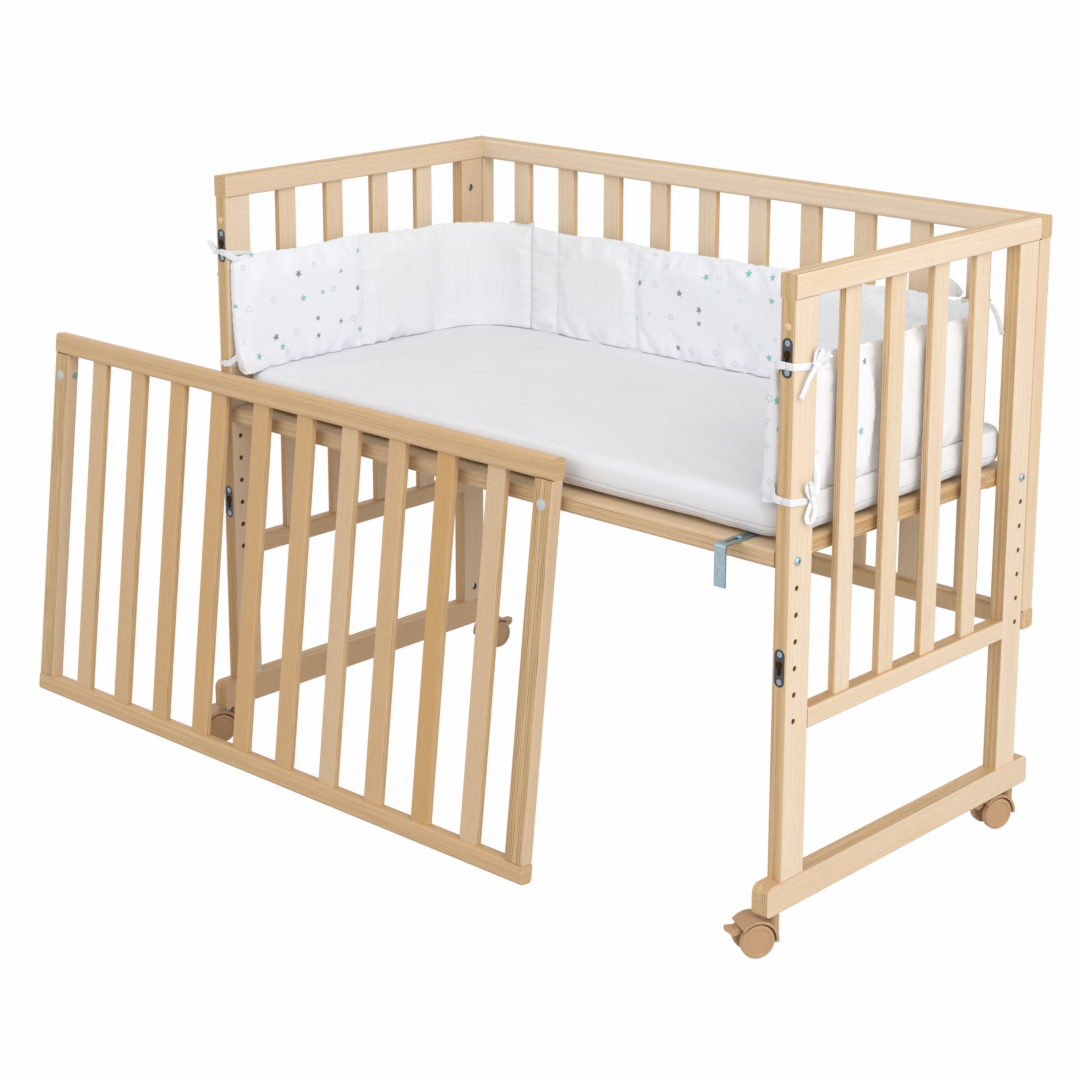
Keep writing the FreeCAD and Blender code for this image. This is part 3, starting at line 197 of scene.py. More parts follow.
def layeredWood(nodeName, grain, stack, thick, edge=1.0, slats=None, lean=0.0, tone=0.1, lines=0.7,
                pocket=False):
    # grain and stack are the axes along the fibres and through the layers, thick is in mm through the layers,
    # slats are their pitch and the first one's offset in pitches, tone is the share of tan, lines how strong
    # the brown lines are; a post's bores and pockets get a darker painted shade
    look = woodLook
    across = 3 - grain - stack
    low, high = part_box(nodeName)
    centre = (low + high) / 2
    turned = Matrix.Rotation(lean, 3, "X") @ centre
    seed = sum(ord(letter) * (place + 3) for place, letter in enumerate(nodeName)) % 97
    material, tree, surface = newFinish("layeredWood_" + nodeName, IOR=1.5, Specular_IOR_Level=0.4)
    place = addNode(tree, "TexCoord")
    spot = addNode(tree, "Mapping", {"Vector": place.outputs["Object"], "Location": tuple(-turned),
                                     "Rotation": (lean, 0, 0)})
    facing = addNode(tree, "Mapping", {"Vector": place.outputs["Normal"], "Rotation": (lean, 0, 0)},
                     vector_type="VECTOR")
    parts = addNode(tree, "SeparateXYZ", [spot])
    facingParts = addNode(tree, "SeparateXYZ", [facing])

    def fibreNoise(kind, detail):
        # a noise drawn out along the fibres
        acrossScale, alongScale, shift = look[kind]
        scale = [acrossScale] * 3
        scale[grain] = alongScale
        moved = (seed + shift, shift, 7 * shift)
        drawn = addNode(tree, "VectorMath", [spot, tuple(scale), moved], "MULTIPLY_ADD")
        return addNode(tree, "TexNoise", {"Vector": drawn, "Scale": 1.0, "Detail": detail})

    bend, cloud, streak = fibreNoise("bend", 2.0), fibreNoise("cloud", 2.0), fibreNoise("streak", 3.0)
    gap, pore = fibreNoise("gap", 1.0), fibreNoise("pore", 1.0)
    # growth rings on the broad faces: a sine across the board, 9 mm a ring, bent by the slow noise
    ringPlace = addNode(tree, "Math", [parts.outputs[across], 2 * math.pi / look["ring"]], "MULTIPLY")
    ringBend = addNode(tree, "Math", [bend, 26.0, ringPlace], "MULTIPLY_ADD")
    ring = addNode(tree, "Math", [ringBend], "SINE")
    ringShade = addNode(tree, "MapRange", [ring, 0.2, 1.0, 0.0, 0.20])
    cloudShade = addNode(tree, "MapRange", [cloud, 0.35, 0.7, 0.0, 0.30])
    streakShade = addNode(tree, "MapRange", [streak, 0.38, 0.70])
    faceShade = addNode(tree, "Math", [ringShade, cloudShade], "ADD")
    faceShade = addNode(tree, "Math", [streakShade, 0.28, faceShade], "MULTIPLY_ADD")
    # layers: whole steps through the stack, faces lie in the middle of one
    layers = 2 * max(1, round(thick / 2 / look["layer"]))
    wobble = addNode(tree, "Math", [bend, 0.5, -0.25], "MULTIPLY_ADD")
    layerPlace = addNode(tree, "Math", [parts.outputs[stack], layers / thick * 1000, wobble], "MULTIPLY_ADD")
    layerCell = addNode(tree, "Math", [layerPlace], "ROUND")
    layerOff = addNode(tree, "Math", [layerPlace, layerCell], "SUBTRACT")
    layerRim = addNode(tree, "Math", [layerOff], "ABSOLUTE")
    glue = addNode(tree, "MapRange", [layerRim, 0.33, 0.43])
    cellSeed = addNode(tree, "Math", [layerCell, seed + 0.5], "ADD")
    layerTone = addNode(tree, "TexWhiteNoise", {"W": cellSeed}, noise_dimensions="1D")
    gapShade = addNode(tree, "MapRange", [gap, 0.40, 0.58, 0.35, 1.0])
    toneShade = addNode(tree, "Math", [layerTone, 0.6, 0.4], "MULTIPLY_ADD")
    glueTone = glue
    for factor in (toneShade, gapShade, lines):
        glueTone = addNode(tree, "Math", [glueTone, factor], "MULTIPLY")
    edgeShade = addNode(tree, "Math", [streakShade, 0.35], "MULTIPLY")
    edgeShade = addNode(tree, "Math", [layerTone, 0.55, edgeShade], "MULTIPLY_ADD")
    # open joints in some layers: dark dashes where the gap noise is high
    opened = addNode(tree, "MapRange", [gap, 0.60, 0.66, 0.0, lines])
    opened = addNode(tree, "Math", [opened, glue], "MULTIPLY")
    # edges are where the surface doesn't face along the stack
    facingAlong = addNode(tree, "Math", [facingParts.outputs[stack]], "ABSOLUTE")
    edgeMask = addNode(tree, "MapRange", [facingAlong, 0.9, 0.35, 0.0, edge])
    edgeTints = {6: hexColor(look["edgePale"]), 7: hexColor(look["amber" if slats else "edgeDeep"])}
    edgeColor = addNode(tree, "Mix", {"Factor": edgeShade, **edgeTints}, data_type="RGBA").outputs[2]
    # each board, and each slat, is cut from a lighter or darker tree
    share = tone
    if slats:
        slatPlace = addNode(tree, "Math", [parts.outputs[across], 1 / slats[0], slats[1]], "MULTIPLY_ADD")
        slatCell = addNode(tree, "Math", [slatPlace], "FLOOR")
        slatSeed = addNode(tree, "Math", [slatCell, seed + 11.5], "ADD")
        slatTone = addNode(tree, "TexWhiteNoise", {"W": slatSeed}, noise_dimensions="1D")
        palest, darkest = max(0.0, tone - look["slatSpread"]), min(1.0, tone + look["slatSpread"])
        share = addNode(tree, "MapRange", [slatTone, 0.0, 1.0, palest, darkest])
    # the lines and the open joints show on the edges only
    lineMask = addNode(tree, "Math", [glueTone, edgeMask], "MULTIPLY")
    openMask = addNode(tree, "Math", [opened, edgeMask], "MULTIPLY")
    poreMask = addNode(tree, "MapRange", [pore, 0.62, 0.74, 0.0, 0.22])
    # pale wood, then over it each of these by its factor
    tints = [(faceShade, hexColor(look["warm"])), (share, hexColor(look["tan"])), (edgeMask, edgeColor),
             (lineMask, hexColor(look["line"])), (openMask, hexColor(look["dark"])),
             (poreMask, hexColor(look["line"]))]
    if pocket:
        # a point more than a millimetre inside the post's outer faces lies in a bore or in one of the
        # pockets, and gets painted shade there
        depths = []
        edges = (high - low) / 2
        for axis in (0, 1):
            off = addNode(tree, "Math", [parts.outputs[axis]], "ABSOLUTE")
            depths.append(addNode(tree, "Math", [off, edges[axis] - look["boreDepth"]], "SUBTRACT"))
        deep = addNode(tree, "Math", depths, "MAXIMUM")
        inside = addNode(tree, "Math", [deep, 0.0], "LESS_THAN")
        tints.append((inside, hexColor(look["pocket"])))
    color = hexColor(look["pale"])
    for factor, tint in tints:
        color = addNode(tree, "Mix", {"Factor": factor, 6: color, 7: tint}, data_type="RGBA").outputs[2]
    rough = addNode(tree, "MapRange", [streak, 0.0, 1.0, look["roughness"] - 0.06, look["roughness"] + 0.10])
    height = addNode(tree, "Math", [glueTone, -0.4, streak], "MULTIPLY_ADD")
    coat(tree, surface, color, height, look["relief"], 0.0002, rough)
    dress(nodeName, material)


leanAngle = math.radians(6.54)      # how far the loose panel leans back
slatRow, baseRow = (0.0846, 0), (0.1183, 0.5)      # pitch of the slats, and the first cell's shift in pitches
# the left end's boards are darker than the right's, most of all low down: painted shade, for the left end
# stands in shade; tones of the top rail, front post, back post, lower rail, foot and slats
endTonesLeftShaded = {"left": (0.28, 0.18, 0.34, 0.50, 0.60, 0.13), "right": (0.06, 0.05, 0.06, 0.18, 0.28, 0.15)}
for side, tones in endTonesLeftShaded.items():
    layeredWood(side + "_top_rail", 1, 0, 22, edge=0.9, tone=tones[0])
    layeredWood(side + "_front_post", 2, 0, 20, tone=tones[1], lines=0.45, pocket=True)
    layeredWood(side + "_back_post", 2, 0, 20, tone=tones[2], lines=0.5, pocket=True)
    layeredWood(side + "_lower_rail", 1, 0, 22, edge=0.9, tone=tones[3])
    layeredWood(side + "_foot", 1, 0, 22, edge=0.9, tone=tones[4])
    layeredWood(side + "_slats", 2, 0, 10, edge=0.9, slats=slatRow, tone=tones[5])
    layeredWood("base_%s_rail" % side, 1, 2, 20, tone=0.5, lines=1.3)
    layeredWood("back_%s_stile" % side, 2, 0, 22, tone=0.3)
    layeredWood("panel_%s_stile" % side, 2, 0, 29, lean=leanAngle, tone=0.35, lines=1.6)
layeredWood("back_top_rail", 0, 1, 24, edge=0.9, tone=0.08)
layeredWood("back_bottom_rail", 0, 1, 24, edge=0.9, tone=0.55, lines=1.3)
layeredWood("back_slats", 2, 1, 10, edge=0.9, slats=slatRow, tone=0.28)
# the loose panel's high tan share is partly its own darker wood and partly painted shade on its front faces,
# which turn away from the lamps
layeredWood("panel_top_rail", 0, 2, 28, edge=0.5, lean=leanAngle, tone=0.66)
layeredWood("panel_bottom_rail", 0, 2, 25, edge=0.5, lean=leanAngle, tone=0.66)
layeredWood("panel_slats", 2, 1, 10, edge=0.9, slats=slatRow, lean=leanAngle, tone=0.70)
layeredWood("base_front_rail", 0, 2, 20, edge=0.65, tone=0.36, lines=1.2)
layeredWood("base_back_rail", 0, 2, 20, tone=0.5, lines=1.5)
layeredWood("base_slats", 1, 2, 8, slats=baseRow, tone=0.45)
print("wood done")


def moulded(name, color, roughness, grainSize, relief, flecks):
    # injection moulded plastic: one colour, a fine eroded grain, slightly uneven gloss; clouds of 17 mm
    material, tree, surface = newFinish(name, IOR=1.49, Specular_IOR_Level=0.5)
    place = addNode(tree, "TexCoord")
    grit = addNode(tree, "TexNoise", {"Vector": place.outputs["Object"], "Scale": 1 / grainSize,
                                      "Detail": 2.0})
    cloud = addNode(tree, "TexNoise", {"Vector": place.outputs["Object"], "Scale": 60.0, "Detail": 2.0})
    shade = addNode(tree, "MapRange", [cloud, 0.3, 0.7, 0.0, flecks])
    gloss = addNode(tree, "MapRange", [grit, 0.0, 1.0, roughness - 0.07, roughness + 0.07])
    coat(tree, surface, mottled(tree, color, 0.72, shade), grit, relief, 0.0001, gloss)
    return material


def platedSteel(name, color, roughness, spangle, brushed):
    # zinc on steel: a metal with soft cloudy patches of 4 mm and 0.4 mm marks of the barrel it was plated in
    material, tree, surface = newFinish(name, Metallic=1.0)
    place = addNode(tree, "TexCoord")
    cloud = addNode(tree, "TexNoise", {"Vector": place.outputs["Object"], "Scale": 240.0, "Detail": 3.0})
    marks = addNode(tree, "TexNoise", {"Vector": place.outputs["Object"], "Scale": 2400.0, "Detail": 2.0})
    shade = addNode(tree, "MapRange", [cloud, 0.35, 0.7, 0.0, spangle])
    gloss = addNode(tree, "MapRange", [marks, 0.0, 1.0, roughness - 0.1, roughness + 0.12])
    coat(tree, surface, mottled(tree, color, 0.62, shade), marks, brushed, 0.0001, gloss)
    return material


brightZinc = platedSteel("brightZincPlate", "#A9BDC8", 0.28, 0.5, 0.25)
darkPlate = platedSteel("darkPassivatedSteel", "#55565A", 0.34, 0.5, 0.3)
tanPlastic = moulded("tanMouldedNylon", "#C39C74", 0.42, 0.0006, 0.5, 0.12)
greyCap = moulded("greyPolythene", "#C9CCC9", 0.45, 0.0006, 0.3, 0.06)
beechCap = moulded("beechColouredCap", "#E2C79C", 0.40, 0.0006, 0.3, 0.10)
for name in ("level_bolts", "barrel_nuts", "back_panel_bolts", "foot_bolts", "keyhole_screws", "bed_hook",
             "hook_screw", "panel_barrel_nuts", "panel_hanging_studs", "caster_sockets"):
    dress(name, brightZinc)
dress("keyhole_plates", darkPlate)
dress("panel_cover_caps", greyCap)
dress("post_caps", beechCap)
for corner in ("front_right", "front_left", "back_right", "back_left"):
    dress("caster_%s_pins" % corner, brightZinc)
    for part in ("hood", "wheels", "brake"):
        dress("caster_%s_%s" % (corner, part), tanPlastic)
print("metal and plastic done")


def surfaceObject(name, points, closed=False):
    # a tube of points (along, across, xyz) as quads, its ends capped or joined; the across direction runs so
    # that faces point outwards
    along, across = points.shape[:2]
    index = np.arange(along * across).reshape(along, across)
    a = index if closed else index[:-1]
    b = np.roll(index, -1, 0) if closed else index[1:]
    faces = np.stack([a, b, np.roll(b, -1, 1), np.roll(a, -1, 1)], -1).reshape(-1, 4).tolist()
    if not closed:
        faces += [index[0].tolist(), index[-1][::-1].tolist()]
    mesh = bpy.data.meshes.new(name)
    mesh.from_pydata((points.reshape(-1, 3) + mid).tolist(), [], faces)
    mesh.update()
    mesh.shade_smooth()
    piece = bpy.data.objects.new(name, mesh)
    scene.collection.objects.link(piece)
    return piece


def pointsOf(piece):
    # a mesh's points as an array about the crib's middle
    flat = np.zeros(len(piece.data.vertices) * 3, np.float32)
    piece.data.vertices.foreach_get("co", flat)
    return flat.reshape(-1, 3).astype(float) - mid


def setPoints(piece, points):
    # puts points about the crib's middle back into the mesh
    piece.data.vertices.foreach_set("co", (points + mid).astype(np.float32).ravel())
    piece.data.update()


def smoothStep(x, low, high):
    # 0 below low, 1 above high and a smooth cubic between; with low and high swapped it falls
    share = np.clip((x - low) / (high - low), 0, 1)
    return share * share * (3 - 2 * share)


def remeshed(piece, size):
    # makes the skin anew as even voxel faces, so that the cloth moves alike everywhere
    modifier = piece.modifiers.new("remesh", "REMESH")
    modifier.mode = "VOXEL"
    modifier.voxel_size = size
    bpy.context.view_layer.update()
    mesh = bpy.data.meshes.new_from_object(piece.evaluated_get(bpy.context.evaluated_depsgraph_get()))
    piece.modifiers.clear()
    old = piece.data
    piece.data = mesh
    bpy.data.meshes.remove(old)


def puff(piece, soft, held=None):
    # blows the closed skin up from inside, with gravity off, and caps how far a point may go
    start = pointsOf(piece)
    modifier = piece.modifiers.new("puff", "CLOTH")
    cloth = modifier.settings
    cloth.quality = 4
    cloth.mass = 0.2
    cloth.use_pressure = True
    cloth.uniform_pressure_force = soft["pressure"]
    cloth.tension_stiffness = soft["stiffness"]
    cloth.compression_stiffness = soft["stiffness"]
    cloth.shear_stiffness = soft["stiffness"] / 2
    cloth.bending_stiffness = soft["bending"]
    cloth.shrink_min = -soft["slack"]
    cloth.effector_weights.gravity = 0
    if held is not None:
        piece.vertex_groups.new(name="held").add(np.nonzero(held)[0].tolist(), 1.0, "REPLACE")
        cloth.vertex_group_mass = "held"
    frames = 20
    modifier.point_cache.frame_start = 1
    modifier.point_cache.frame_end = frames
    for step in range(1, frames + 1):
        scene.frame_set(step)
    shown = piece.evaluated_get(bpy.context.evaluated_depsgraph_get())
    flat = np.zeros(len(shown.data.vertices) * 3, np.float32)
    shown.data.vertices.foreach_get("co", flat)
    moved = flat.reshape(-1, 3).astype(float) - mid
    piece.modifiers.clear()
    piece.vertex_groups.clear()
    scene.frame_set(1)
    step = moved - start
    far = np.linalg.norm(step, axis=1, keepdims=True)
    moved = start + step * np.minimum(1, soft["cap"] / np.maximum(far, 1e-9))
    setPoints(piece, moved)
    return moved


def threadPath(points, count, closed=False):
    # a smooth curve through the given points: each stretch is a cubic of its four nearest points
    points = np.asarray(points, float)
    if closed:
        padded = np.concatenate([points[-1:], points, points[:2]])
    else:
        padded = np.concatenate([2 * points[:1] - points[1:2], points, 2 * points[-1:] - points[-2:-1]])
    stretches = len(padded) - 3
    place = np.linspace(0, stretches, count, endpoint=not closed)
    at = np.minimum(place.astype(int), stretches - 1)
    t = (place - at)[:, None]
    p0, p1, p2, p3 = (padded[at + i] for i in range(4))
    square, cube = 2 * p0 - 5 * p1 + 4 * p2 - p3, 3 * p1 - p0 - 3 * p2 + p3
    return 0.5 * (2 * p1 + (p2 - p0) * t + square * t ** 2 + cube * t ** 3)


def unit(vectors):
    # each vector divided by its length
    return vectors / np.maximum(np.linalg.norm(vectors, axis=-1, keepdims=True), 1e-9)


def roundedPower(x, power):
    # a cosine or sine raised to a power with its sign kept: it squares up a round section
    return np.sign(x) * np.abs(x) ** power


def ripple(height, pitch, along, sway, other, rate):
    # small waves of a height and a pitch along a line, their phase swaying with another place
    return height * np.sin(along * 2 * math.pi / pitch + sway * np.sin(other * rate))


def bell(x, width):
    # 1 at 0, falling to 1/e at a width on either side
    return np.exp(-(x / width) ** 2)


def tape(name, points, way, width, thick, count, closed=False):
    # a flat woven tape: a thin rounded rectangle carried along a smooth path, its broad side kept as near
    # to a given way as the path lets it
    line = threadPath(points, count, closed)
    if closed:
        ahead = unit(np.roll(line, -1, 0) - np.roll(line, 1, 0))
    else:
        ahead = unit(np.gradient(line, axis=0))
    broad = unit(np.array(way) - (np.array(way) * ahead).sum(1, keepdims=True) * ahead)
    flat = np.cross(broad, ahead)
    sides = 16
    turn = np.linspace(0, 2 * math.pi, sides, endpoint=False)
    acrossShape = roundedPower(np.cos(turn), 0.35) * width / 2
    upShape = roundedPower(np.sin(turn), 0.7) * thick / 2
    grid = line[:, None] + broad[:, None] * acrossShape[:, None] + flat[:, None] * upShape[:, None]
    piece = surfaceObject(name, grid, closed)
    # tapePlace: metres along and across the tape, for its weave
    length = np.concatenate([[0], np.cumsum(np.linalg.norm(np.diff(line, axis=0), axis=1))])
    place = np.zeros((count, sides, 3), np.float32)
    place[..., 0] = length[:, None]
    place[..., 1] = acrossShape[None]
    piece.data.attributes.new("tapePlace", "FLOAT_VECTOR", "POINT").data.foreach_set("vector", place.ravel())
    return piece


def jersey(name, color, wale, sheen, hemRows):
    # knitted cotton jersey: soft and matt, fine ribs drawn at twice their real 0.7 mm so that they show; its
    # hem has rows of flat stitching at the given heights
    material, tree, surface = newFinish(name, Roughness=0.88, Sheen_Weight=sheen, Sheen_Roughness=0.5,
                                        Specular_IOR_Level=0.25)
    place = addNode(tree, "TexCoord")
    split = addNode(tree, "SeparateXYZ", [place.outputs["Object"]])
    rows = []
    for axis in (0, 1):
        turn = addNode(tree, "Math", [split.outputs[axis], 2 * math.pi / wale], "MULTIPLY")
        rows.append(addNode(tree, "Math", [turn], "SINE"))
    knit = addNode(tree, "Math", rows, "MULTIPLY")
    cloud = addNode(tree, "TexNoise", {"Vector": place.outputs["Object"], "Scale": 16.0, "Detail": 3.0})
    shade = addNode(tree, "MapRange", [cloud, 0.3, 0.75, 0.0, 0.5])
    tinted = mottled(tree, color, 0.93, shade)
    fuzz = addNode(tree, "TexNoise", {"Vector": place.outputs["Object"], "Scale": 900.0, "Detail": 2.0})
    height = addNode(tree, "Math", [knit, 0.3, fuzz], "MULTIPLY_ADD")
    sway = addNode(tree, "TexNoise", {"Vector": place.outputs["Object"], "Scale": 9.0, "Detail": 3.0})
    level = addNode(tree, "Math", [sway, 0.008, split.outputs[2]], "MULTIPLY_ADD")
    for hemRow in hemRows:
        off = addNode(tree, "Math", [level, hemRow + 0.004], "SUBTRACT")
        off = addNode(tree, "Math", [off], "ABSOLUTE")
        line = addNode(tree, "MapRange", [off, 0.0011, 0.0002, 0.0, 0.5])
        tinted = addNode(tree, "Mix", {"Factor": line, 6: tinted, 7: hexColor("#B4B4BC")},
                         data_type="RGBA").outputs[2]
        height = addNode(tree, "Math", [line, -5.0, height], "MULTIPLY_ADD")
    coat(tree, surface, tinted, height, 0.35, 0.0003)
    return material


def twillTape(name, color, ribPitch):
    # woven cotton tape: fine slanting ribs, 1.2 mm apart, on the tape's own place
    material, tree, surface = newFinish(name, Roughness=0.85, Sheen_Weight=0.1, Specular_IOR_Level=0.25)
    place = addNode(tree, "Attribute", attribute_name="tapePlace")
    split = addNode(tree, "SeparateXYZ", [place.outputs["Vector"]])
    slant = addNode(tree, "Math", split.outputs[:2], "ADD")
    turn = addNode(tree, "Math", [slant, 2 * math.pi / ribPitch], "MULTIPLY")
    rib = addNode(tree, "Math", [turn], "SINE")
    shade = addNode(tree, "MapRange", [rib, -1.0, 1.0, 0.35, 0.0])
    coat(tree, surface, mottled(tree, color, 0.85, shade), rib, 0.4, 0.0002)
    return material


mattressJersey = jersey("cottonJersey", "#EDEEF1", 0.0014, 0.15, (0.4755, 0.4790, 0.4845))
cottonTape = twillTape("cottonTwillTape", "#F4F4F6", 0.0012)

mattress = {"length": 0.900, "width": 0.450, "midY": 0.003, "bottom": 0.4685, "thick": 0.045, "crown": 0.005,
            "corner": 0.034, "start": 0.002, "voxel": 0.005, "squareReach": 0.014, "hemRise": 0.0075,
            "hemStep": 0.0055, "stitchWidth": 0.0013, "stitchDepth": 0.0013, "pucker": 0.0011,
            "puckerPitch": 0.011, "crease": 0.0009, "creasePitch": 0.045, "fold": 0.0011,
            "soft": {"pressure": 4.0, "stiffness": 12.0, "bending": 0.4, "slack": 0.0, "cap": 0.006}}


def roundedOutline(turn, halfX, halfY, corner):
    # a rectangle with round corners: the place at a share of the way round, four straights and four arcs
    straightX, straightY = 2 * (halfX - corner), 2 * (halfY - corner)
    arc = math.pi / 2 * corner
    total = 2 * (straightX + straightY) + 4 * arc
    s = (turn % 1.0) * total
    starts = np.cumsum([0, straightX, arc, straightY, arc, straightX, arc, straightY])
    part = np.clip(np.searchsorted(starts, s, side="right") - 1, 0, 7)
    along = s - starts[part]
    quarter = part // 2
    isArc = part % 2 == 1
    angle = -math.pi / 2 + quarter * math.pi / 2 + np.where(isArc, along / corner, 0)
    cornerX = np.array([1, 1, -1, -1])[quarter] * (halfX - corner)
    cornerY = np.array([-1, 1, 1, -1])[quarter] * (halfY - corner)
    x = cornerX + corner * np.cos(angle)
    y = cornerY + corner * np.sin(angle)
    back = np.where(isArc, 0, np.array([straightX, straightY, straightX, straightY])[quarter] - along)
    x = x + back * np.array([-1, 0, 1, 0])[quarter]
    y = y + back * np.array([0, -1, 0, 1])[quarter]
    return x, y


def mattressSkin(m):
    # rounded outlines stacked from the middle of the underside, round the side and up over the crown;
    # each is the widest one drawn in by a set amount, the side bulging between its two seams
    shrink = m["start"]
    # each level's share of the height, and how far it is drawn in
    levels = ((0.0, 0.15), (0.0, 0.06), (0.0, 0.02), (0.01, 0.009), (0.07, 0.0035), (0.2, 0.0012), (0.5, 0.0),
              (0.8, 0.0012), (0.93, 0.0035), (0.99, 0.009), (1.01, 0.02), (1.05, 0.06), (1.09, 0.11),
              (1.11, 0.15))
    turn = np.linspace(0, 1, 400, endpoint=False)
    rings = []
    for share, inset in levels:
        gap = inset + shrink
        corner = max(0.01, m["corner"] - inset / 2)
        x, y = roundedOutline(turn, m["length"] / 2 - gap, m["width"] / 2 - gap, corner)
        z = m["bottom"] + shrink * (share < 0.5) + share * m["thick"] - shrink * (share > 0.5)
        rings.append(np.stack([x, y, np.full_like(x, z)], -1))
    return np.stack(rings)


def makeMattress():
    # the foam core in its cover: the skin is blown up, put back to size and given its seams and folds
    m = mattress
    halfX, halfY = m["length"] / 2, m["width"] / 2
    shift = np.array([0, m["midY"], 0])
    piece = surfaceObject("foamMattress", mattressSkin(m) + shift)
    remeshed(piece, m["voxel"])
    points = puff(piece, m["soft"]) - shift
    # the cloth draws in as it swells, so it is stretched back to the cover's own size
    points[:, :2] *= np.array([halfX, halfY]) / np.abs(points[:, :2]).max(0)
    top = m["bottom"] + m["thick"]
    inside = np.minimum(halfX - np.abs(points[:, 0]), halfY - np.abs(points[:, 1]))
    # beside the bumper the rim fills up square: the corner's quarter circle becomes a superellipse of power
    # 7, while the open front edge stays round
    reach = m["squareReach"]
    a = np.clip(1 - inside / reach, 0, 1)
    b = np.clip(1 - (top - points[:, 2]) / reach, 0, 1)
    grow = np.hypot(a, b) / np.maximum((a ** 7 + b ** 7) ** (1 / 7), 1e-6)
    beside = smoothStep(points[:, 1] + halfY, 0.006, 0.05) * (a > 0) * (b > 0)
    core = np.array([halfX, halfY]) - 0.04
    middle = np.clip(points[:, :2], -core, core)
    outward = unit(np.concatenate([points[:, :2] - middle, np.zeros((len(points), 1))], 1) + 1e-9)
    points += outward * (reach * a * (grow - 1) * beside)[:, None]
    points[:, 2] += reach * b * (grow - 1) * beside
    points[:, 2] += (top - points[:, 2]) * beside * smoothStep(points[:, 2], top - 0.009, top - 0.004)
    # the top keeps under the bumper at its rim and crowns towards the middle; the underside lies flat
    ceiling = top + 0.0001 + (m["crown"] + 0.001) * smoothStep(inside, 0.02, 0.13)
    # shallow folds in the cover
    folds = m["fold"] * np.sin(points[:, 0] * 17 + 2.0 * np.sin(points[:, 1] * 9))
    folds *= np.sin(points[:, 1] * 13 + 1.0)
    points[:, 2] += folds * smoothStep(points[:, 2], top - 0.004, top) * smoothStep(inside, 0.0, 0.05)
    points[:, 2] = np.minimum(points[:, 2], ceiling)
    points[:, 2] = np.maximum(points[:, 2], m["bottom"])
    # the cover's hem: two drawn-in rows of stitching low on the side, and puckers under them, deepest at the
    # corners
    height = points[:, 2] - m["bottom"]
    side = inside < reach
    rows = bell(height - m["hemRise"], m["stitchWidth"])
    rows += 0.7 * bell(height - m["hemRise"] - m["hemStep"], m["stitchWidth"])
    cornerNear = bell(np.hypot(halfX - np.abs(points[:, 0]), halfY - np.abs(points[:, 1])), 0.10)
    around = points[:, 0] - points[:, 1]
    pucker = ripple(m["pucker"], m["puckerPitch"], around, 2.2, around, 37) * (0.25 + 0.75 * cornerNear)
    below = 1 - smoothStep(height, m["hemRise"] - 0.002, m["hemRise"] + 0.006)
    points -= outward * ((m["stitchDepth"] * rows + pucker * below) * side)[:, None]
    # a few shallow creases run in from the open front edge's right corner
    creasePlace = (points[:, 0] - 0.25) * 0.5 + points[:, 1]
    crease = ripple(m["crease"], m["creasePitch"], creasePlace, 1.5, points[:, 0], 31)
    creaseNear = bell(points[:, 0] - 0.27, 0.16) * bell(points[:, 1] + 0.16, 0.06)
    points[:, 2] += crease * creaseNear * smoothStep(points[:, 2], top - 0.006, top)
    points[:, 0] = np.clip(points[:, 0], -halfX - 0.0005, halfX + 0.0005)
    points[:, 1] = np.clip(points[:, 1], -halfY - 0.001, halfY + 0.001)
    setPoints(piece, points + shift)
    piece.data.shade_smooth()
    finer = piece.modifiers.new("finer", "SUBSURF")
    finer.levels = finer.render_levels = 1
    piece.data.materials.append(mattressJersey)
    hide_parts("mattress")
    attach(piece, "crib")
    print("mattress done")


makeMattress()

bumper = {"sideX": 0.441, "backY": 0.227, "startY": -0.232, "corner": 0.082, "bottom": 0.5138,
          "height": 0.158, "dip": 0.009, "thick": 0.017, "depth": 0.475, "voxel": 0.0045, "shrink": 0.0016,
          "seamBow": 0.006, "slack": 0.0010, "wave": 0.0022, "pucker": 0.0009, "puckerPitch": 0.014,
          "lip": 0.0007, "lipPitch": 0.016, "hem": 0.011, "frill": 0.0012, "frillPitch": 0.012,
          "curl": 0.004, "roll": 0.007, "belly": 0.008, "press": 0.007, "spread": 0.004, "cornerIn": 0.006,
          "leanX": 0.001, "leanY": 0.005,
          "soft": {"pressure": 3.0, "stiffness": 8.0, "bending": 0.3, "slack": 0.035, "cap": 0.006}}
bumper["straight"] = bumper["backY"] - bumper["corner"] - bumper["startY"]
bumper["across"] = 2 * (bumper["sideX"] - bumper["corner"])
bumper["bend"] = math.pi / 2 * bumper["corner"]
bumper["total"] = 2 * bumper["straight"] + 2 * bumper["bend"] + bumper["across"]
# the star panels run from seam to seam, and past the front ends
backMiddle, halfPanel, pastEnd = bumper["total"] / 2, 0.141, 0.04
starSeams = (0.215, backMiddle - halfPanel, backMiddle + halfPanel, bumper["total"] - 0.179)
starBands = ((-pastEnd, starSeams[0]), starSeams[1:3], (starSeams[3], bumper["total"] + pastEnd))
plainOffs = (0.291, 0.339)      # the mesh panels' own seams, on both sides of the back's middle
plainSeams = [backMiddle + hand * off for off in plainOffs for hand in (-1, 1)]


def bumperLine(s):
    # the centre line at a length s: left side, round corner, back, round corner and right side, and the way
    # inwards from it
    b = bumper
    s = np.asarray(s, float)
    half = np.where(s > b["total"] / 2, b["total"] - s, s)
    angle = np.clip((half - b["straight"]) / b["corner"], 0, math.pi / 2)
    run = np.maximum(half - b["straight"] - b["bend"], 0)
    inX, inY = np.cos(angle), -np.sin(angle)
    x = -b["sideX"] + b["corner"] - inX * b["corner"] + run
    y = np.where(half < b["straight"], b["startY"] + half, b["backY"] - b["corner"] - inY * b["corner"])
    mirror = np.where(s > b["total"] / 2, -1.0, 1.0)
    zero = np.zeros_like(x)
    return np.stack([x * mirror, y, zero], -1), np.stack([inX * mirror, inY, zero], -1)


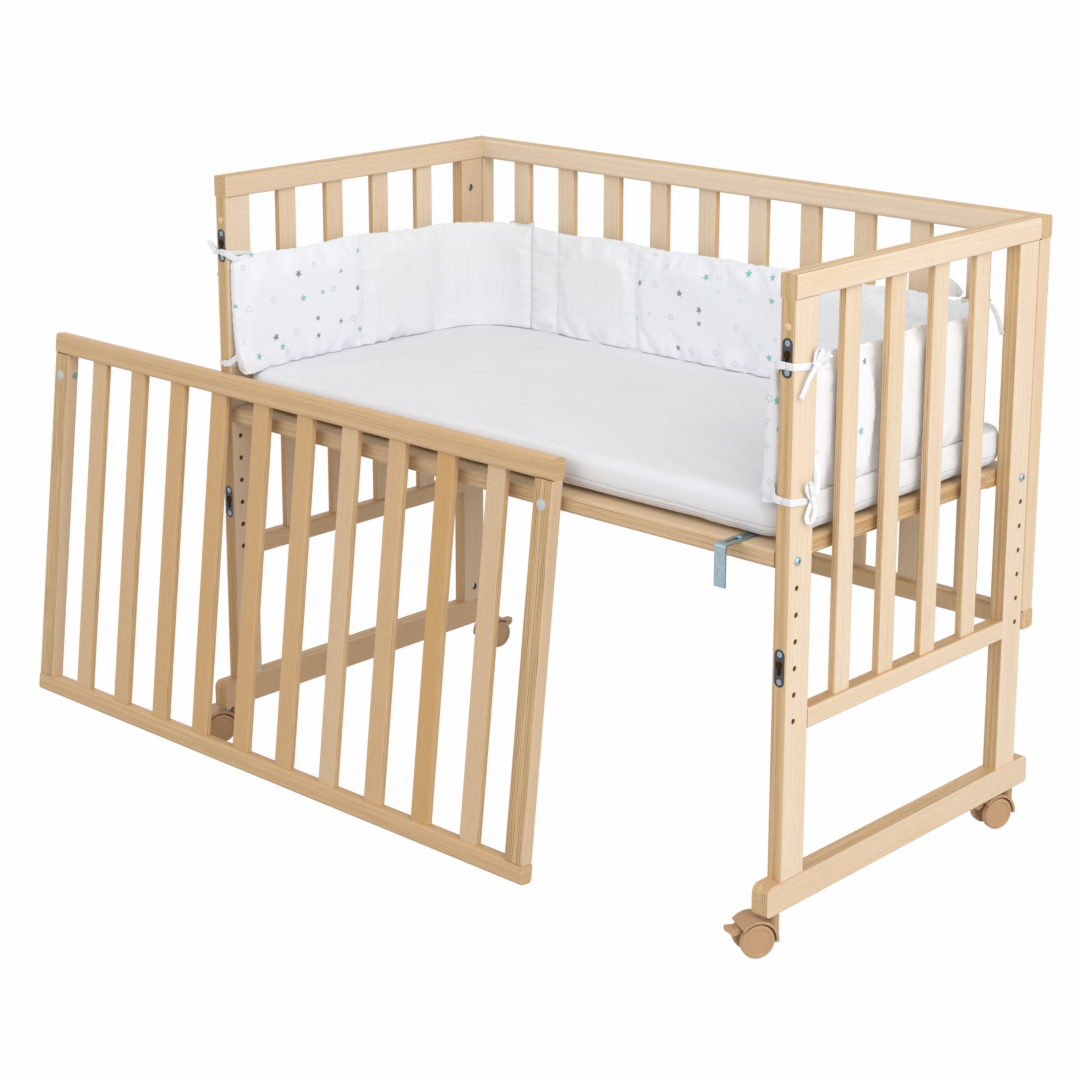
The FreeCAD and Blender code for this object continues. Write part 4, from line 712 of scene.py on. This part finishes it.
def bumperPlace(points):
    # the inverse: length along the centre line, distance inwards from it, and height, of any near point
    b = bumper
    mirror = points[:, 0] > 0
    x = np.where(mirror, -points[:, 0], points[:, 0])
    y = points[:, 1]
    cornerX, cornerY = -b["sideX"] + b["corner"], b["backY"] - b["corner"]
    onSide = y < cornerY
    onBack = (x > cornerX) & ~onSide
    angle = np.arctan2(y - cornerY, cornerX - x)
    radius = np.hypot(x - cornerX, y - cornerY)
    s = np.where(onBack, b["straight"] + b["bend"] + x - cornerX, b["straight"] + angle * b["corner"])
    s = np.where(onSide, y - b["startY"], s)
    inward = np.where(onSide, x + b["sideX"], np.where(onBack, b["backY"] - y, b["corner"] - radius))
    return np.where(mirror, b["total"] - s, s), inward, points[:, 2]


def bumperTop(s):
    # the top edge's height: it dips with the square of the way back from the front
    middle, _ = bumperLine(s)
    back = (middle[..., 1] + bumper["depth"] / 2) / bumper["depth"]
    return bumper["bottom"] + bumper["height"] - bumper["dip"] * back ** 2


def seamBow(z, s):
    # the height as a share of the strip's own, and how far the star panels' seams bow out there
    share = np.clip((z - bumper["bottom"]) / (bumperTop(s) - bumper["bottom"]), 0, 1)
    return share, bumper["seamBow"] * (1 - (2 * share - 1) ** 2)


def seamNear(s, z, width):
    # 1 on a sewn seam, falling to 0 within a width: the star panels' seams bow outwards at mid height
    _, bow = seamBow(z, s)
    near = np.full_like(s, 9.0)
    for seam, hand in zip(starSeams, (1, -1, 1, -1)):
        near = np.minimum(near, np.abs(s - seam - hand * bow))
    for seam in plainSeams:
        near = np.minimum(near, np.abs(s - seam))
    return bell(near, width)


def bumperSkin(b):
    # an upright cushion section at each length: a flattened oval between the bottom and top edges,
    # thinner at the ends, where it closes on itself
    closing = np.array([0.0, 0.0012, 0.004, 0.008])
    s = np.concatenate([closing, np.linspace(0.014, b["total"] - 0.014, 700), b["total"] - closing[::-1]])
    end = np.minimum(s, b["total"] - s)
    swell = np.sqrt(np.clip(1 - (1 - np.minimum(end / 0.012, 1)) ** 2, 0.0004, 1))
    turn = np.linspace(0, 2 * math.pi, 72, endpoint=False)
    middle, inward = bumperLine(s)
    low, high = b["bottom"] + 0.0003, bumperTop(s) - b["shrink"]
    thick = (b["thick"] - 2 * b["shrink"] - 0.003) * (0.45 + 0.55 * swell)
    upShape = roundedPower(np.sin(turn), 0.42)
    acrossShape = roundedPower(np.cos(turn), 0.7)
    grid = middle[:, None] + inward[:, None] * (acrossShape[None, :, None] * thick[:, None, None] / 2)
    rise = (low + high) / 2
    tall = (high - low) / 2 * (0.985 + 0.015 * swell)
    grid[..., 2] = rise[:, None] + tall[:, None] * upShape[None]
    return grid


bumperLook = {"cotton": "#F1F2F7", "mesh": "#F6F7F9", "hole": "#BFC5C8", "stitchShadeColor": "#A9ACAE",
              "starCell": 0.037, "starSmall": 0.0036, "starLarge": 0.0062, "outlinedShare": 0.58,
              "noStarShare": 0.12, "meshStep": 0.0042, "weave": 900.0, "stitchShadeHalf": (0.0014, 0.0003),
              "inks": ((0.0, "#CDCFD3"), (0.46, "#C3E2DD"), (0.58, "#97979C"), (0.80, "#97CCC4"))}


def printedCotton():
    # woven cotton printed with plain stars, next to warp knitted spacer mesh, both white and matt. The weave
    # is finer than the render shows, so it is a faint grain of 1.1 mm; the mesh's holes lie 4.2 mm apart.
    look = bumperLook
    material, tree, surface = newFinish("printedCottonAndMesh", Roughness=0.86, Sheen_Weight=0.12,
                                        Specular_IOR_Level=0.25)
    place = addNode(tree, "Attribute", attribute_name="clothPlace")
    split = addNode(tree, "SeparateXYZ", [place.outputs["Vector"]])
    along, height, bow = split.outputs[:3]
    # 1 in the three star panels: distance from each panel's middle less its half length, bowed with height
    masks, seamOffs = [], []      # seamOffs: distance from a seam, and how dark its line of stitching and painted shade in the groove is
    for start, end in starBands:
        off = addNode(tree, "Math", [along, (start + end) / 2], "SUBTRACT")
        off = addNode(tree, "Math", [off], "ABSOLUTE")
        off = addNode(tree, "Math", [off, bow], "SUBTRACT")
        off = addNode(tree, "Math", [off, (end - start) / 2], "SUBTRACT")
        masks.append(addNode(tree, "Math", [off, 0.0], "LESS_THAN"))
        seamOffs.append((off, 0.14))
    cotton = addNode(tree, "Math", masks[:2], "MAXIMUM")
    cotton = addNode(tree, "Math", [cotton, masks[2]], "MAXIMUM")
    # the plain seams lie at the same distances on both sides of the back's middle
    fromMiddle = addNode(tree, "Math", [along, backMiddle], "SUBTRACT")
    fromMiddle = addNode(tree, "Math", [fromMiddle], "ABSOLUTE")
    for plainOff, dark in zip(plainOffs, (0.22, 0.62)):
        off = addNode(tree, "Math", [fromMiddle, plainOff], "SUBTRACT")
        seamOffs.append((off, dark))
    # each seam's line: the stitching, darkened with painted shade where the seam draws the padding into a
    # groove
    stitchAndShade = None
    for off, dark in seamOffs:
        off = addNode(tree, "Math", [off], "ABSOLUTE")
        row = addNode(tree, "MapRange", [off, look["stitchShadeHalf"][0], look["stitchShadeHalf"][1], 0.0, dark])
        stitchAndShade = addNode(tree, "Math", [stitchAndShade, row], "MAXIMUM") if stitchAndShade else row
    # stars: one in most cells of a jittered 37 mm grid, each with its own turn, size and colour
    flatPlace = addNode(tree, "CombineXYZ", [along, height])
    cell = addNode(tree, "TexVoronoi", {"Vector": flatPlace, "Scale": 1 / look["starCell"],
                                        "Randomness": 0.85}, voronoi_dimensions="2D")
    offset = addNode(tree, "VectorMath", [flatPlace, cell.outputs["Position"]], "SUBTRACT")
    offsetParts = addNode(tree, "SeparateXYZ", [offset])
    chance = addNode(tree, "SeparateColor", [cell.outputs["Color"]])
    radius = addNode(tree, "VectorMath", [offset], "LENGTH")
    angle = addNode(tree, "Math", [offsetParts.outputs[1], offsetParts], "ARCTAN2")
    angle = addNode(tree, "Math", [chance.outputs[1], 6.28, angle], "MULTIPLY_ADD")
    wedge = math.radians(36)      # half a point of the star: the angle is folded into it
    fold = addNode(tree, "Math", [angle, wedge], "PINGPONG")
    cosine = addNode(tree, "Math", [fold], "COSINE")
    sine = addNode(tree, "Math", [fold], "SINE")
    # the edge from an outer point (radius 1) to the next inner one (radius 0.48), in the folded wedge
    inner = 0.48
    normal = Vector((inner * math.sin(wedge), 1.0 - inner * math.cos(wedge)))
    reach = normal.x / normal.length
    normal.normalize()
    size = addNode(tree, "MapRange", [chance.outputs[2], 0.0, 1.0, look["starSmall"], look["starLarge"]])
    part = addNode(tree, "Math", [cosine, normal.x], "MULTIPLY")
    part = addNode(tree, "Math", [sine, normal.y, part], "MULTIPLY_ADD")
    part = addNode(tree, "Math", [part, radius.outputs["Value"]], "MULTIPLY")
    part = addNode(tree, "Math", [part, size], "DIVIDE")
    part = addNode(tree, "Math", [part, reach], "SUBTRACT")
    inStar = addNode(tree, "Math", [part, 0.0], "LESS_THAN")
    inCore = addNode(tree, "Math", [part, -0.14], "LESS_THAN")
    outlined = addNode(tree, "Math", [chance, look["outlinedShare"]], "LESS_THAN")
    hollow = addNode(tree, "Math", [inCore, outlined], "MULTIPLY")
    ink = addNode(tree, "Math", [inStar, hollow], "SUBTRACT")
    printed = addNode(tree, "Math", [chance.outputs[2], look["noStarShare"]], "GREATER_THAN")
    ink = addNode(tree, "Math", [ink, printed], "MULTIPLY")
    ink = addNode(tree, "Math", [ink, cotton], "MULTIPLY")
    # outlines are pale grey or pale mint, solid stars mid grey or mint
    inkColor = addNode(tree, "ValToRGB", [chance])
    ramp = inkColor.color_ramp
    ramp.interpolation = "CONSTANT"
    for number, (position, tint) in enumerate(look["inks"]):
        stop = ramp.elements[number] if number < 2 else ramp.elements.new(position)
        stop.position = position
        stop.color = hexColor(tint)
    # the mesh: rows of small holes, every other row moved by half a step
    step = look["meshStep"]
    row = addNode(tree, "Math", [height, 2 / step], "MULTIPLY")
    rowCell = addNode(tree, "Math", [row], "FLOOR")
    rowOff = addNode(tree, "Math", [row, rowCell], "SUBTRACT")
    rowOff = addNode(tree, "Math", [rowOff, 0.5], "SUBTRACT")
    column = addNode(tree, "Math", [rowCell, 0.5], "MULTIPLY")
    column = addNode(tree, "Math", [along, 1 / step, column], "MULTIPLY_ADD")
    column = addNode(tree, "Math", [column], "FRACT")
    column = addNode(tree, "Math", [column, 0.5], "SUBTRACT")
    column = addNode(tree, "Math", [column, 1.6], "MULTIPLY")
    hole = addNode(tree, "CombineXYZ", [column, rowOff])
    hole = addNode(tree, "VectorMath", [hole], "LENGTH")
    holeMask = addNode(tree, "MapRange", [hole.outputs["Value"], 0.46, 0.26])
    meshOnly = addNode(tree, "Math", [1.0, cotton], "SUBTRACT")
    holeMask = addNode(tree, "Math", [holeMask, meshOnly], "MULTIPLY")
    holeShade = addNode(tree, "Math", [holeMask, 0.50], "MULTIPLY")
    # white mesh, then over it the cotton, the holes, the seams' stitching with its painted shade, and the
    # print
    color = hexColor(look["mesh"])
    for factor, tint in ((cotton, hexColor(look["cotton"])), (holeShade, hexColor(look["hole"])),
                         (stitchAndShade, hexColor(look["stitchShadeColor"])), (ink, inkColor)):
        color = addNode(tree, "Mix", {"Factor": factor, 6: color, 7: tint}, data_type="RGBA").outputs[2]
    weave = addNode(tree, "TexNoise", {"Vector": flatPlace, "Scale": look["weave"], "Detail": 2.0},
                    noise_dimensions="2D")
    relief = addNode(tree, "Math", [holeMask, -1.6, weave], "MULTIPLY_ADD")
    relief = addNode(tree, "Math", [stitchAndShade, -4.0, relief], "MULTIPLY_ADD")
    coat(tree, surface, color, relief, 0.4, 0.0003)
    return material


def makeBumper():
    # the padded strip: the skin is blown up between its seams, then sewn, creased and pressed down in code
    b = bumper
    piece = surfaceObject("quiltedBumper", bumperSkin(b))
    remeshed(piece, b["voxel"])
    points = pointsOf(piece)
    s, inward, z = bumperPlace(points)
    low, high = b["bottom"], bumperTop(s)
    rim = np.minimum(z - low, high - z)
    held = (seamNear(s, z, 0.005) > 0.6) | (rim < 0.0045)
    calm = inward
    points = puff(piece, b["soft"], held)
    s, inward, z = bumperPlace(points)
    # in the round corners the cloth is stretched tight: the folds even out, and the padding rounds them more
    end = np.minimum(s, b["total"] - s)
    corner = np.exp(-((end - b["straight"] - b["bend"] / 2) / 0.085) ** 4)
    inward = inward * (1 - 0.8 * corner) + 1.22 * calm * 0.8 * corner
    # sewn seams: the padding draws in to a narrow channel, with small puckers along it
    seam = seamNear(s, z, 0.010)
    groove = seamNear(s, z, 0.0026)
    pucker = ripple(b["pucker"], b["puckerPitch"], z, 1.7, s, 60) * seamNear(s, z, 0.016)
    inward = inward * (1 - 0.34 * seam - 0.26 * groove) + pucker * np.sign(inward) * (1 - groove)
    # slow waves where the cloth is slack, mostly near the top edge
    slack = b["slack"] * np.sin(s * 41 + 3 * np.sin(z * 30)) * smoothStep(z, low + 0.02, high) * (1 - seam)
    inward = np.where(inward > 0, inward + slack, inward + 0.4 * slack)
    z = z + b["wave"] * np.sin(s * 33 + 1.1) * np.sin(s * 7.3) * smoothStep(z, low + 0.06, high)
    # the sewn top edge is drawn in to a narrow lip with short puckers
    lip = bell(bumperTop(s) - 0.004 - z, 0.004)
    inward = inward * (1 - 0.35 * lip)
    z = z + lip * ripple(b["lip"], b["lipPitch"], s, 2, s, 23)
    # a hem stands 11 mm from each front end, its lower corner curling in over the mattress
    inward = inward * (1 - 0.45 * bell(end - b["hem"], 0.0024))
    frill = ripple(b["frill"], b["frillPitch"], z, 1.5, z, 90) * bell(end, 0.009)
    curl = b["curl"] * bell(end, 0.03) * (1 - smoothStep(z - low, 0.0, 0.09))
    # the right end stands open, blown up towards the middle
    share, bow = seamBow(z, s)
    arch = np.sin(math.pi * np.clip(share * 0.92 + 0.14, 0, 1)) ** 0.6
    belly = b["belly"] * bell(b["total"] - s, 0.035) * arch
    inward = inward + frill + curl + belly * smoothStep(inward, -0.004, 0.006)
    # the left end's lower corner rolls further in over the mattress
    roll = b["roll"] * bell(s, 0.05) * (1 - smoothStep(z - low, 0.0, 0.05))
    roll = roll * smoothStep(inward, -0.004, 0.006)
    inward = inward + roll
    # the bottom edge rests flat on the mattress, and its padding spreads inwards there
    press = 1 - smoothStep(z - low, 0.0, 0.035)
    inward = inward * (1 + 0.35 * press) + b["spread"] * press * smoothStep(inward, 0.0, 0.005)
    z = z - b["press"] * press
    inward = np.clip(inward, -b["thick"] / 2 - 0.0012, b["thick"] / 2 + 0.0050 + belly + roll)
    z = np.clip(z, low + 0.0002, bumperTop(s) + 0.002)
    middle, way = bumperLine(s)
    points = middle + way * (inward + b["cornerIn"] * corner)[:, None]
    # the left end is tied close against its post
    points[:, 0] -= b["leanX"] * bell(s, 0.035)
    points[:, 1] -= b["leanY"] * bell(s, 0.035)
    points[:, 2] = z
    setPoints(piece, points)
    piece.data.shade_smooth()
    # the cloth runs on round the front ends, so its own length does too
    turned = (1 - smoothStep(end, 0.0, 0.012)) * (inward + b["thick"] / 2)
    along = np.where(s < b["total"] / 2, s - turned, s + turned)
    place = np.stack([along, z - low, bow], -1).astype(np.float32)
    piece.data.attributes.new("clothPlace", "FLOAT_VECTOR", "POINT").data.foreach_set("vector", place.ravel())
    finer = piece.modifiers.new("finer", "SUBSURF")
    finer.levels = finer.render_levels = 1
    piece.data.materials.append(printedCotton())
    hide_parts("bumper")
    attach(piece, "crib")
    print("bumper done:", len(piece.data.vertices), "points")


makeBumper()

ties = {"width": 0.0084, "leftShare": 0.72, "thick": 0.0012, "off": 0.0003, "tilt": -0.12, "knotBack": 0.032,
        "postInner": 0.4515, "postOuter": 0.4715, "postFront": -0.2375, "postBack": -0.1965,
        "heights": (("Low", 0.521), ("High", 0.670)), "backHeight": 0.655, "slatX": 0.3807, "slatHalf": 0.015,
        "slatFront": 0.2369, "slatBack": 0.2545}
# Each part of a bow has a name, points in mm from its knot (outwards from the post, back along it, up), the
# way of the tape's broad side, its width and its number of sections.
bows = {
    "High": (
        ("loopBack", ((1, 1, 0), (4, 8, 4), (5, 17, 9), (3.5, 21, 9), (2, 17, 4), (1.4, 7, 0), (1, 0, 0)),
         (0.2, -0.3, 0.9), 0.0080, 60),
        ("loopUp", ((1, 0, 0), (4, 2, 8), (5, 4, 14), (3.4, 3, 17), (1.8, 0, 13), (1.4, -1, 5), (1, 0, 0)),
         (0.2, 0.95, -0.2), 0.0075, 60),
        ("tailFront", ((1.5, -1, 0), (3.2, -7, -5), (2.6, -14, -13), (2.0, -21, -25), (1.6, -26, -32)),
         (0.1, 0.75, -0.6), 0.0070, 44),
        ("tailBack", ((1.5, 1, 0), (3.4, 8, -4), (2.8, 15, -3), (2.2, 22, -5)), (0.1, 0.2, 0.95), 0.0068, 30),
        ("strapFront", ((-35, -24, -6), (-29, -29, -2), (-24, -34.5, 2.5), (-14, -34.8, 3.2)),
         (0.1, 0.1, 0.98), 0.0085, 30)),
    "Low": (
        ("loopUp", ((1, 0, 0), (4, -3, 7), (5, -7, 16), (3.8, -10, 21), (2.2, -12, 15), (1.5, -5, 5),
                    (1, 0, 0)), (0.2, 0.9, 0.3), 0.0062, 60),
        ("loopDown", ((1, 0, 0), (4, 1, -8), (5, -2, -18), (3.8, -7, -23), (2.2, -11, -18), (1.6, -6, -8),
                      (1, 0, 0)), (0.2, 0.9, -0.3), 0.0062, 60),
        ("strapFront", ((-35, -24, 16), (-30, -29, 10), (-24, -34.5, 5), (-14, -34.8, 3.4)),
         (0.3, 0.1, 0.95), 0.0085, 30),
        ("strapBack", ((1.5, 1, 0), (3.0, 5, 9), (2.0, 9, 22), (-3.0, 12, 36), (-9.0, 14, 46)),
         (0.1, 0.9, -0.3), 0.0080, 40))}
# single loops and straps, with points in mm in the crib's frame
looseTapes = (
    ("loopLeftCorner", ((-472.6, -237.5, 670.5), (-475, -239.5, 675), (-479, -241, 681),
                        (-481.5, -241, 684.5), (-482.5, -240, 684), (-480.5, -238, 679.5), (-477, -236, 674),
                        (-473.5, -235.5, 670)), (0.7, 0.7, 0.1), 0.0062, 60),
    ("loopBackUpper", ((365, 233, 665.5), (359, 230, 674), (350, 226, 680), (344, 223, 679),
                       (343, 221.5, 674.5), (350, 224, 670), (361, 231, 666.5)), (0.5, 0.6, 0.6), 0.0095, 60),
    ("loopBackLower", ((365, 232.5, 665), (356, 227, 670), (347, 221, 671), (343.5, 217.5, 669),
                       (346, 217.5, 666.5), (355, 223, 666), (363, 231, 665.5)),
     (0.4, 0.5, 0.75), 0.0085, 60),
    ("knotBack", ((362, 232, 662), (366, 230.5, 665), (368, 231.5, 670)), (0.7, 0.5, -0.3), 0.0070, 20),
    ("strapCorner", ((438, 146, 671), (445, 160, 677), (450, 173, 671), (452, 184, 656), (452.3, 194.5, 634)),
     (-0.61, -0.03, -0.52), 0.0062, 60))


def ringRound(low, high, z, gap, tilt):
    # a tape's line round an upright piece, 48 points of its rounded outline, tilted along Y
    halfX, halfY = (high[0] - low[0]) / 2 + gap, (high[1] - low[1]) / 2 + gap
    x, y = roundedOutline(np.linspace(0, 1, 48, endpoint=False), halfX, halfY, gap + 0.0015)
    centreX, centreY = (high[0] + low[0]) / 2, (high[1] + low[1]) / 2
    return np.stack([x + centreX, y + centreY, z + tilt * y], -1)


def makeTies():
    # two bands round each front post, each with a knot and a bow, one band round a slat on each side of the
    # back, and the loose loops
    t = ties
    gap = t["off"] + t["thick"] / 2
    upright = (0, 0, 1.0)
    made = []
    for hand, side in ((-1, "left"), (1, "right")):
        for spot, z in t["heights"]:
            inner, outer = sorted((hand * t["postInner"], hand * t["postOuter"]))
            line = ringRound((inner, t["postFront"]), (outer, t["postBack"]), z, gap, t["tilt"])
            width = t["width"] * (t["leftShare"] if side == "left" else 1.0)
            made.append(tape("band" + side + spot, line, upright, width, t["thick"], 200, True))
            # the knot and its bow, on the post's outer face near its back edge
            face = hand * (t["postOuter"] + t["off"] + t["thick"])
            knot = np.array([face + hand * 0.002, t["postFront"] + t["knotBack"], z])

            def about(*steps):
                # points from the knot: outwards from the post, back along it, and up, in mm
                return [knot + np.array([hand * out, back, rise]) / 1000 for out, back, rise in steps]

            knotLine = about((-1.5, -1, 3.5), (2.2, -1.5, 3), (2.6, 1, -3), (-1.5, 1.5, -3.5))
            made.append(tape("knot" + side + spot, knotLine, (0, 1.0, 0.3), 0.0075, 0.0028, 24))
            for part, steps, way, width, count in bows[spot]:
                made.append(tape(part + side + spot, about(*steps), way, width, t["thick"], count))
        slat = hand * t["slatX"]
        line = ringRound((slat - t["slatHalf"], t["slatFront"]), (slat + t["slatHalf"], t["slatBack"]),
                         t["backHeight"], gap, 0.0)
        made.append(tape("backBand" + side, line, upright, t["width"], t["thick"], 160, True))
    for part, places, way, width, count in looseTapes:
        made.append(tape(part, [np.array(place) / 1000 for place in places], way, width, t["thick"], count))
    for piece in made:
        piece.data.materials.append(cottonTape)
        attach(piece, "crib")
    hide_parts("bumper_ties")
    print("ties done:", len(made))


makeTies()

bpy.context.view_layer.update()
